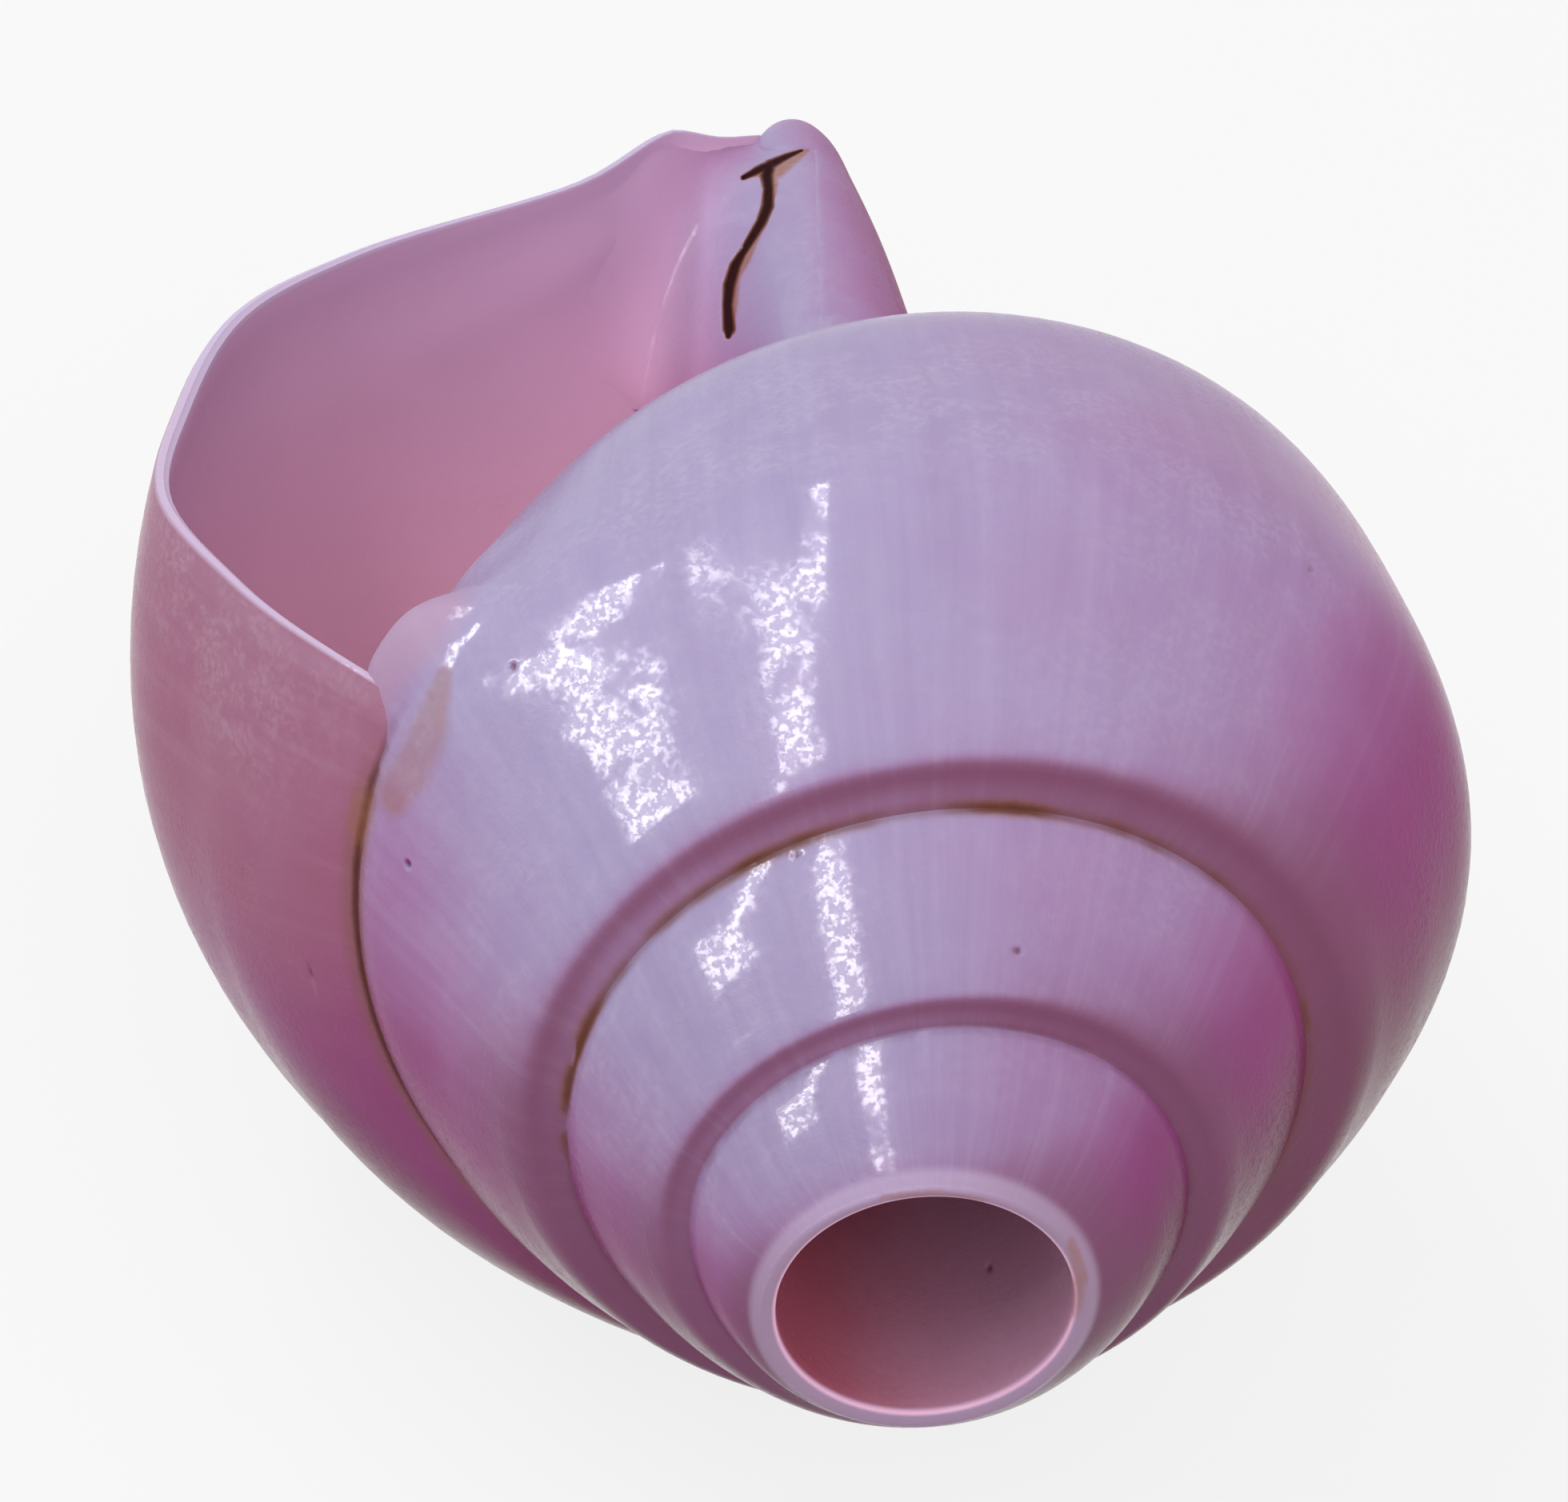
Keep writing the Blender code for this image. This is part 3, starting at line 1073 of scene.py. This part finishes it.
# %% Note the stains
STAINS = (
    (
        (-21.1, -34.6, 60.2, 0.9),
        (-21.7, -36.4, 57.9, 1.9),
        (-22.4, -37.0, 55.8, 2.0),
        (-23.4, -37.2, 53.6, 1.6),
    ),
    ((-24.9, -35.6, 52.0, 1.5), (-25.1, -36.0, 49.6, 1.5)),
    ((11.9, -63.8, 44.5, 0.35), (12.0, -63.6, 47.2, 0.6), (11.2, -63.2, 49.8, 0.35)),
    ((1.5, -62.9, 52.3, 0.25), (4.0, -62.8, 52.7, 0.4), (6.4, -62.9, 52.2, 0.25)),
)
STAIN_STRONGER = 1.4
HOLE_MIDDLE = (4.355, 44.83)
RING_PALE = (9.1, 8.6)
RING_BEHIND = -61.5

stain = np.max([nearness(where, line) for line in STAINS], axis=0)
note(shell, "stain", np.clip(stain * STAIN_STRONGER, 0, 1))
from_hole = np.hypot(*(where[:, [0, 2]] - np.array(HOLE_MIDDLE)).T)
on_ring = (where[:, 1] < RING_BEHIND) & (inside < BORE_INSIDE - 0.1)
note(shell, "ring", ease_from(*RING_PALE, from_hole) * on_ring)
print("the stains cover", (stain > 0).sum(), "points, and the ring", on_ring.sum())

# %% [markdown]
# Smooth shading hides the faces of a curved surface. Where two faces meet at more than the given angle,
# the edge stays sharp, so the corners at the sutures and the ground ring still read as corners.

# %% Shade it smooth
make_active(shell)
bpy.ops.object.shade_smooth_by_angle(angle=radians(38))
print("triangles:", sum(len(face.vertices) - 2 for face in shell.data.polygons))

# %% [markdown]
# ## Writing shaders as sums
# A shader is a tree of nodes. A small class wraps the output of a node, so that a sum of masks can be
# written as plain arithmetic, and one method adds any other kind of node.

# %% The class for shader sums
MIX_FACTOR, MIX_BELOW, MIX_ABOVE, MIX_RESULT = 0, 6, 7, 2  # a Mix node's sockets for colours


class Wire:
    """The output of a shader node, which can be added to, multiplied and so on. Without an output it
    only holds the tree, for the nodes that need no wire to start from."""

    def __init__(self, tree, output=None):
        self.tree = tree
        self.output = output

    def node(self, kind, settings, inputs, output=0):
        """A new node in the same tree: its settings first, then a value or a link for each input."""
        made = self.tree.nodes.new(kind)
        for name, value in settings.items():
            setattr(made, name, value)
        for socket, value in inputs.items():
            if isinstance(value, Wire):
                self.tree.links.new(value.output, made.inputs[socket])
            else:
                made.inputs[socket].default_value = value
        return Wire(self.tree, made.outputs[output] if len(made.outputs) else None)

    def part(self, name):
        """Another output of the same node."""
        return Wire(self.tree, self.output.node.outputs[name])

    def sum(self, operation, first, second=0.0, clamp=False):
        settings = {"operation": operation, "use_clamp": clamp}
        return self.node("ShaderNodeMath", settings, {0: first, 1: second})

    def __add__(self, other):
        return self.sum("ADD", self, other)

    __radd__ = __add__

    def __sub__(self, other):
        return self.sum("SUBTRACT", self, other)

    def __rsub__(self, other):
        return self.sum("SUBTRACT", other, self)

    def __mul__(self, other):
        return self.sum("MULTIPLY", self, other)

    __rmul__ = __mul__

    def clamped(self):
        return self.sum("ADD", self, 0.0, clamp=True)

    def between(self, start, stop):
        """0 up to start, 1 from stop, and a smooth step from one to the other."""
        inputs = {"Value": self, "From Min": start, "From Max": stop}
        return self.node("ShaderNodeMapRange", {"interpolation_type": "SMOOTHSTEP"}, inputs)

    def noise(self, scale, detail=2.0, roughness=0.5, distortion=0.0):
        """Noise on the coordinates that this wire carries."""
        inputs = {"Vector": self, "Scale": scale, "Detail": detail, "Roughness": roughness}
        inputs["Distortion"] = distortion
        return self.node("ShaderNodeTexNoise", {}, inputs)

    def mix(self, below, above):
        """One colour over another, with this wire as the mask."""
        inputs = {MIX_FACTOR: self, MIX_BELOW: below, MIX_ABOVE: above}
        return self.node("ShaderNodeMix", {"data_type": "RGBA"}, inputs, output=MIX_RESULT)


# %% [markdown]
# ## The finish
# A polished conch is smooth and slightly waxy. Its colour is lilac, with a pink inside, and its turn to
# magenta and crimson on the lower sides is painted bounce light and shade. The material starts from the
# coordinates and from the notes on the mesh.

# %% Start the material
LILAC = (0.335, 0.285, 0.46, 1)
ORCHID = (0.345, 0.165, 0.345, 1)
MAGENTA = (0.27, 0.05, 0.18, 1)
CRIMSON = (0.12, 0.006, 0.03, 1)
BAND = (0.19, 0.09, 0.125, 1)
BROWN_PINK = (0.315, 0.10, 0.15, 1)
APEX_PURPLE = (0.15, 0.07, 0.16, 1)

material = bpy.data.materials.new("polished shell")
material.use_nodes = True
tree = material.node_tree
shader = tree.nodes["Principled BSDF"]
blank = Wire(tree)
where_is = blank.node("ShaderNodeTexCoord", {}, {}, output="Object")


def layer(name):
    """A note that was kept on the mesh, as a wire."""
    return blank.node("ShaderNodeAttribute", {"attribute_name": name}, {}, output="Fac")


growth = blank.node("ShaderNodeUVMap", {"uv_map": "growth"}, {})
place_wire = growth.node("ShaderNodeSeparateXYZ", {}, {0: growth})
turn_wire = place_wire.part("Y")
sideways = where_is.node("ShaderNodeSeparateXYZ", {}, {0: where_is})
along_shell = sideways.part("Y")
height = sideways.part("Z")

# %% [markdown]
# The outer colour is a run of four colours, mixed one over another as the painted bounce and shade rises:
# the lilac turns to orchid, magenta and crimson as painted light on the sides facing right and down. Two
# noises move it up and down, so that the colours meet in soft blotches. Their scales count per metre: 55
# gives blotches about 2 cm wide. The ledges are darker, partly in their own duller colour and partly as
# painted shade in the hollow, and the last whorl is browner towards the lip.

# %% Outer colour
BLOTCH_SCALE = 55
CLOUD_SCALE = 160
TO_ORCHID = (0.05, 0.85)
TO_MAGENTA = (0.55, 1.2)
TO_CRIMSON = (1.1, 1.9)
BAND_PLACES = (0.02, 0.15)
BAND_TURNS = (-0.4, -0.2)
BAND_SHARE = 0.62
BROWN_PLACES = (0.35, 0.6)
BROWN_TURNS = (-0.30, -0.03)
BROWN_SHARE = 0.75
APEX_ENDS = (-60.0 * MM, -42.0 * MM)
APEX_SHARE = 0.2

blotches = where_is.noise(BLOTCH_SCALE, detail=3, roughness=0.55)
clouds = where_is.noise(CLOUD_SCALE, detail=4, roughness=0.6)
blotches_and_painted_bounce = layer("painted_bounce_shade") + 0.5 * (blotches - 0.5) + 0.16 * (clouds - 0.5)
# Painted light: orchid, magenta and crimson paint bounce light and shade onto the sides facing right and
# down.
colour = blotches_and_painted_bounce.between(*TO_ORCHID).mix(LILAC, ORCHID)
colour = blotches_and_painted_bounce.between(*TO_MAGENTA).mix(colour, MAGENTA)
colour = blotches_and_painted_bounce.between(*TO_CRIMSON).mix(colour, CRIMSON)
outside = (1 - layer("pink")).clamped()
# The ledge beside each suture is darker. Part of this is the ledge's own duller colour and part is painted
# shade in the hollow.
on_band = (1 - place_wire.between(*BAND_PLACES)) * (1 - turn_wire.between(*BAND_TURNS))
on_band = on_band * blotches_and_painted_bounce.between(0.35, 0.9)
colour = (on_band * outside * BAND_SHARE).mix(colour, BAND)
browned = turn_wire.between(*BROWN_TURNS) * (1 - place_wire.between(*BROWN_PLACES)) * outside
browned = browned * (1 - blotches_and_painted_bounce.between(0.8, 1.35))
colour = (browned * BROWN_SHARE).mix(colour, BROWN_PINK)
apex = 1 - along_shell.between(*APEX_ENDS)
colour = (apex * outside * APEX_SHARE).mix(colour, APEX_PURPLE)
print("the outer colour takes", len(tree.nodes), "nodes")

# %% [markdown]
# Shell grows at the lip, and each stop in growth leaves a faint line across the whorl. The UV map holds
# each point's place and turn, so noise that changes quickly with the turn and slowly with the place draws
# such lines. An image texture could do it too, but it would blur in a close view.

# %% Growth lines
LINES_ALONG = 3.0
LINES_A_TURN = 130.0
LINE_PALE = (0.55, 0.48, 0.62, 1)
LINE_DARK = (0.16, 0.06, 0.11, 1)
PALE_SHARE = 0.38
DARK_SHARE = 0.36
LINES_FADE = (0.5, 1.3)

stretch = {"X": place_wire * LINES_ALONG, "Y": turn_wire * LINES_A_TURN, "Z": 0.0}
stretched = blank.node("ShaderNodeCombineXYZ", {}, stretch)
lines = stretched.noise(1.0, detail=4, roughness=0.65, distortion=0.3)
fade = (lines - 0.5) * outside
colour = (fade * PALE_SHARE * (1 - blotches_and_painted_bounce.between(*LINES_FADE))).clamped().mix(colour, LINE_PALE)
colour = (fade * -DARK_SHARE).clamped().mix(colour, LINE_DARK)
print("with the growth lines:", len(tree.nodes), "nodes")

# %% [markdown]
# The inside is pink and matt. Low down and towards the spire it is painted a brighter pink, as painted light
# that stands for light shining through the thin wall. The lip's rim and the ring round the blow-hole are
# pale, and the bore is painted as shade in maroon on its left and as light in mauve-grey on its right.

# %% Inside, rims and bore
PINK = (0.54, 0.315, 0.505, 1)
PINK_LIT_THROUGH = (0.97, 0.48, 0.67, 1)
PALE = (0.60, 0.50, 0.69, 1)
SHADED_MAROON = (0.34, 0.08, 0.12, 1)
LIT_MAUVE_GREY = (0.46, 0.25, 0.37, 1)
CALLUS_MAUVE = (0.44, 0.27, 0.375, 1)
DEEP_ENDS = (16.0 * MM, 64.0 * MM)
BORE_ENDS = (-2.0 * MM, 11.0 * MM)
BORE_FROM = (1.2, 1.9)
CALLUS_SHARE = 0.6
RIM_SHARE = 0.75
RING_SHARE = 0.38

# Painted light: low down and towards the spire the pink is brighter, standing for light shining through the
# thin wall.
low = 1 - (height + 0.5 * along_shell + 0.008 * (blotches - 0.5)).between(*DEEP_ENDS)
pink = low.mix(PINK, PINK_LIT_THROUGH)
colour = layer("pink").mix(colour, pink)
bore = layer("inside").between(*BORE_FROM)
# Painted shade and light: the bore's shaded left side is maroon and its lit right side is mauve-grey.
bore_colour = (sideways + 0.004 * (clouds - 0.5)).between(*BORE_ENDS).mix(SHADED_MAROON, LIT_MAUVE_GREY)
colour = bore.mix(colour, bore_colour)
colour = (layer("callus") * CALLUS_SHARE).mix(colour, CALLUS_MAUVE)
colour = (layer("rim") * RIM_SHARE).mix(colour, PALE)
colour = (layer("ring") * RING_SHARE).mix(colour, PALE)
print("with the inside:", len(tree.nodes), "nodes")

# %% [markdown]
# Dirt lies in the sutures: a dark line beside the last one, and rusty grains along the one before it. A
# wider brown band round the last suture is painted shade, where the whorl curves down into it. Each kind of
# mark is a mask made from a note on the mesh, with grains of noise to break up its border.

# %% Dirt and painted shade
RUSTY = (0.22, 0.085, 0.03, 1)
DARK_BROWN = (0.085, 0.022, 0.016, 1)
PIT = (0.13, 0.045, 0.085, 1)
CRACK_BROWN = (0.15, 0.05, 0.022, 1)
CRACK_DARK = (0.022, 0.005, 0.006, 1)
PAINTED_SEAM_SHADE = (0.22, 0.09, 0.075, 1)
STAIN_BROWN = (0.30, 0.125, 0.075, 1)
RUST_BROWN = (0.27, 0.105, 0.04, 1)
GRAIN_SCALE = 420
DIRT_SCALE = 75
LAST_SEAM_TURNS = (-0.20, -0.14, 0.0, 0.03)
SECOND_SEAM_TURNS = (-1.10, -1.0, -0.56, -0.46)


def grainy(name, strength):
    """A note on the mesh, with grains at its border."""
    return layer(name) + strength * (grains - 0.5) * layer(name).between(0.0, 0.2)


def on_turns(rises, full, falls, none):
    """A stretch of the sutures, by their turn, with soft ends."""
    return seam_turn.between(rises, full) * (1 - seam_turn.between(falls, none))


grains = where_is.noise(GRAIN_SCALE, detail=5, roughness=0.7)
gap_wire = layer("gap") + 0.35 * (grains - 0.5)
seam_turn = layer("seam_turn")
last_seam = on_turns(*LAST_SEAM_TURNS)
second_seam = on_turns(*SECOND_SEAM_TURNS)
patchy = where_is.noise(DIRT_SCALE, detail=3, roughness=0.6).between(0.42, 0.6)
near_seam = 1 - gap_wire.between(0.08, 0.55)
# Painted shade: a brown band beside the last suture, where the whorl curves down into the crease.
colour = ((1 - gap_wire.between(0.3, 1.7)) * last_seam * 0.6).mix(colour, PAINTED_SEAM_SHADE)
colour = (near_seam * last_seam * 0.9).mix(colour, DARK_BROWN)
colour = ((1 - gap_wire.between(0.1, 0.8)) * second_seam * (0.2 + 0.7 * patchy)).mix(colour, RUSTY)
colour = (near_seam * (0.16 + 0.6 * patchy * second_seam)).mix(colour, DARK_BROWN)
stained = grainy("stain", 0.5).between(0.05, 0.95)
colour = (stained * (0.2 + 0.5 * grains)).mix(colour, STAIN_BROWN)
rusted = grainy("rust", 1.1).between(0.15, 0.95)
colour = (rusted * (0.4 + 0.7 * grains)).mix(colour, RUST_BROWN)
colour = layer("crack").between(0.02, 0.4).mix(colour, CRACK_BROWN)
colour = layer("crack").between(0.3, 0.75).mix(colour, CRACK_DARK)
colour = (0.8 * layer("pit").between(0.05, 0.9)).mix(colour, PIT)
tree.links.new(colour.output, shader.inputs["Base Color"])
print("with the dirt:", len(tree.nodes), "nodes")

# %% [markdown]
# ## Polish
# The surface is smooth between fine grains and scratches. A scratch is noise stretched along a line, so a
# Mapping node turns the coordinates and a Vector Math node stretches them. Dirt, the callus and the inside
# are duller.

# %% Roughness
FINE_SCALE = 2500
WORN_SCALE = 85
SCRATCH_TURNED = (0.4, 0.9, 0.3)
SCRATCH_STRETCH = (300, 4200, 900)
SMOOTHEST = 0.15

fine = where_is.noise(FINE_SCALE, detail=3, roughness=0.65)
turned = where_is.node("ShaderNodeMapping", {}, {"Vector": where_is, "Rotation": SCRATCH_TURNED})
scratched = turned.node("ShaderNodeVectorMath", {"operation": "MULTIPLY"}, {0: turned, 1: SCRATCH_STRETCH})
scratches = scratched.noise(1.0, detail=2, roughness=0.6)
worn = where_is.noise(WORN_SCALE, detail=3).between(0.35, 0.7)
gritty = (fine - 0.45).between(0.0, 0.2) * (0.35 + 0.65 * worn)
dull = near_seam * 0.3 + layer("crack") * 0.8 + place_wire.between(1.0, 1.25) * 0.25
dull = (dull + stained * 0.2 + layer("pink") * 0.34 + layer("callus") * 0.6).clamped()
roughness = SMOOTHEST + 0.16 * gritty + 0.08 * scratches.between(0.5, 0.75) + 0.8 * dull
tree.links.new(roughness.clamped().output, shader.inputs["Roughness"])
print("with the roughness:", len(tree.nodes), "nodes")

# %% [markdown]
# The sharp reflections come from the shader's coat, a clear layer over the colour. It is broken into
# patches and speckles, so that the reflection of a window crumbles at its edges, as on the real shell. It
# lies on the upper lilac side and fades out edge-on, and the layer below it hardly reflects. Otherwise the
# white room would turn the crimson of the lower sides pale.

# %% Coat
SPECKLE_SCALE = 2100
PATCH_SCALE = 260
EDGE_ON = (0.45, 0.8)
POLISHED = (0.3, 0.9)
COAT_ROUGHNESS = 0.09
BARE_REFLECTION = 0.04

speckles = where_is.noise(SPECKLE_SCALE, detail=3, roughness=0.7).between(0.47, 0.58)
patches = where_is.noise(PATCH_SCALE, detail=3, roughness=0.6).between(0.38, 0.52)
edge_on = blank.node("ShaderNodeLayerWeight", {}, {"Blend": 0.5}, output="Facing").between(*EDGE_ON)
polish = (0.05 + 0.2 * patches + 0.75 * patches * speckles) * (1 - blotches_and_painted_bounce.between(*POLISHED))
polish = polish * (1 - edge_on) * outside * (1 - layer("rim")) * (1 - layer("callus")) * (1 - layer("crack"))
tree.links.new(polish.clamped().output, shader.inputs["Coat Weight"])
shader.inputs["Coat Roughness"].default_value = COAT_ROUGHNESS
shader.inputs["Specular IOR Level"].default_value = BARE_REFLECTION
print("with the coat:", len(tree.nodes), "nodes")

# %% [markdown]
# Grains, scratches and growth lines are too fine to model, so a Bump node tilts the shading by them. It
# moves nothing, and its distance is a tenth of a millimetre.

# %% Bump
BUMP_STRENGTH = 0.6
BUMP_DISTANCE = 0.1 * MM

relief = 0.75 * (fine * (0.3 + 0.7 * worn)) + 0.2 * scratches + 0.15 * lines + 0.12 * clouds
bump_inputs = {"Strength": BUMP_STRENGTH, "Distance": BUMP_DISTANCE, "Height": relief}
bump = relief.node("ShaderNodeBump", {}, bump_inputs)
tree.links.new(bump.output, shader.inputs["Normal"])

# %% [markdown]
# The finished piece takes the shell's material and rides on the root body, and the CAD model's shell is
# hidden in its place.

# %% Hand the shell over
shell.data.materials.clear()
shell.data.materials.append(material)
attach(shell, "root")
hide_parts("shell")

# %% [markdown]
# ## The camera
# The camera looks down at the spire through a long lens, about 18 cm from the nearest whorl, with the
# ear and the lip beyond it.

# %% Camera
CAMERA_AT = np.array((-20.865, -179.985, 190.179))
CAMERA_TURNED = (47.243, -5.205, -2.372)
LENS = 84.44
SENSOR_WIDTH = 36
CLIP_START = 10.0 * MM

camera = bpy.data.objects.new("camera", bpy.data.cameras.new("camera"))
bpy.context.scene.collection.objects.link(camera)
camera.location = CAMERA_AT * MM
camera.rotation_euler = [radians(angle) for angle in CAMERA_TURNED]
camera.data.lens = LENS
camera.data.sensor_width = SENSOR_WIDTH
camera.data.clip_start = CLIP_START
bpy.context.scene.camera = camera
bpy.context.scene.view_settings.view_transform = "Standard"
print("the camera stands", round(float(np.linalg.norm(CAMERA_AT - POLE))), "mm from the shell's pole")

# %% [markdown]
# ## The light
# Two softboxes on the left and a wide one in front on the right light the shell. The softboxes are hidden
# from reflections, and three window panes take their place there: they show in the polish and light
# nothing. So the brightness of a reflection can be set without any more light on the shell. Each lamp has
# an azimuth, an elevation and a roll in degrees, two sides in metres, and watts.

# %% Softboxes and panes
LIGHT_DISTANCE = 0.9
LAMPS = (
    ("low_softbox", 167, 36, 0, 1.00, 0.10, 2.8, False),
    ("high_softbox", 167, 66, 0, 0.80, 0.11, 2.5, False),
    ("soft_key", -60, 48, 0, 1.5, 1.5, 6.5, False),
    ("low_pane", 167, 42, 0, 0.50, 0.10, 2.2, True),
    ("side_pane", 186, 33, 90, 0.26, 0.15, 1.7, True),
    ("high_pane", 200, 65, -17, 1.90, 0.15, 12.5, True),
)
AIM = Vector((0.0, -0.03, 0.045))

for name, azimuth, elevation, roll, long, narrow, watts, is_pane in LAMPS:
    lamp = bpy.data.objects.new(name, bpy.data.lights.new(name, "AREA"))
    bpy.context.scene.collection.objects.link(lamp)
    lamp.data.shape = "RECTANGLE"
    lamp.data.size = long
    lamp.data.size_y = narrow
    lamp.data.energy = watts
    lamp.visible_diffuse = not is_pane
    lamp.visible_glossy = is_pane
    around, above = radians(azimuth), radians(elevation)
    towards = Vector((cos(above) * cos(around), cos(above) * sin(around), sin(above)))
    lamp.location = AIM + towards * LIGHT_DISTANCE
    aimed = (-towards).to_track_quat("-Z", "Y") @ Quaternion((0, 0, 1), radians(roll))
    lamp.rotation_euler = aimed.to_euler()
    print(name, "gives off", round(watts / (pi * long * narrow), 1), "W per square metre and steradian")

# %% [markdown]
# The world is white wherever the camera or a reflection sees it, and dimmer as a light on the shell. A
# Light Path node tells the two apart.

# %% World
FILL = 0.5
WHITE = (1, 1, 1, 1)


def seen_as_white(tree):
    """1 for a ray from the camera, straight or by way of a mirror or glass, and 0 for light on a surface."""
    path = Wire(tree).node("ShaderNodeLightPath", {}, {})
    return (path + path.part("Is Glossy Ray") + path.part("Is Transmission Ray")).clamped()


world = bpy.data.worlds.new("studio")
bpy.context.scene.world = world
world.use_nodes = True
background = world.node_tree.nodes["Background"]
background.inputs["Color"].default_value = WHITE
strength = FILL + (1 - FILL) * seen_as_white(world.node_tree)
world.node_tree.links.new(strength.output, background.inputs["Strength"])
print("the world lights the shell with a strength of", FILL)

# %% [markdown]
# The floor is plain and nearly white. Part of what the camera sees of it is a plain glow, which keeps it
# pale up to the horizon, and the rest is lit as usual, which keeps the shell's shadow.

# %% Floor
FLOOR_GLOW = 0.82
FLOOR_SIDE = 6
PAPER = (0.6, 0.6, 0.6, 1)

deselect_all()
bpy.ops.mesh.primitive_plane_add(size=FLOOR_SIDE, location=(0, 0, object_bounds()[0][2]))
floor = bpy.context.object
floor.name = "floor"
bpy.ops.object.transform_apply(location=True, rotation=False, scale=False)
paper = bpy.data.materials.new("white paper")
paper.use_nodes = True
tree = paper.node_tree
tree.nodes.clear()
seen = seen_as_white(tree)
plain = seen.node("ShaderNodeBsdfDiffuse", {}, {"Color": PAPER})
glow = seen.node("ShaderNodeEmission", {}, {"Color": WHITE, "Strength": 1.0})
mixed = seen.node("ShaderNodeMixShader", {}, {0: seen * FLOOR_GLOW, 1: plain, 2: glow})
seen.node("ShaderNodeOutputMaterial", {}, {"Surface": mixed})
floor.data.materials.append(paper)
print("the floor lies at", round(floor.data.vertices[0].co.z / MM, 3), "mm")
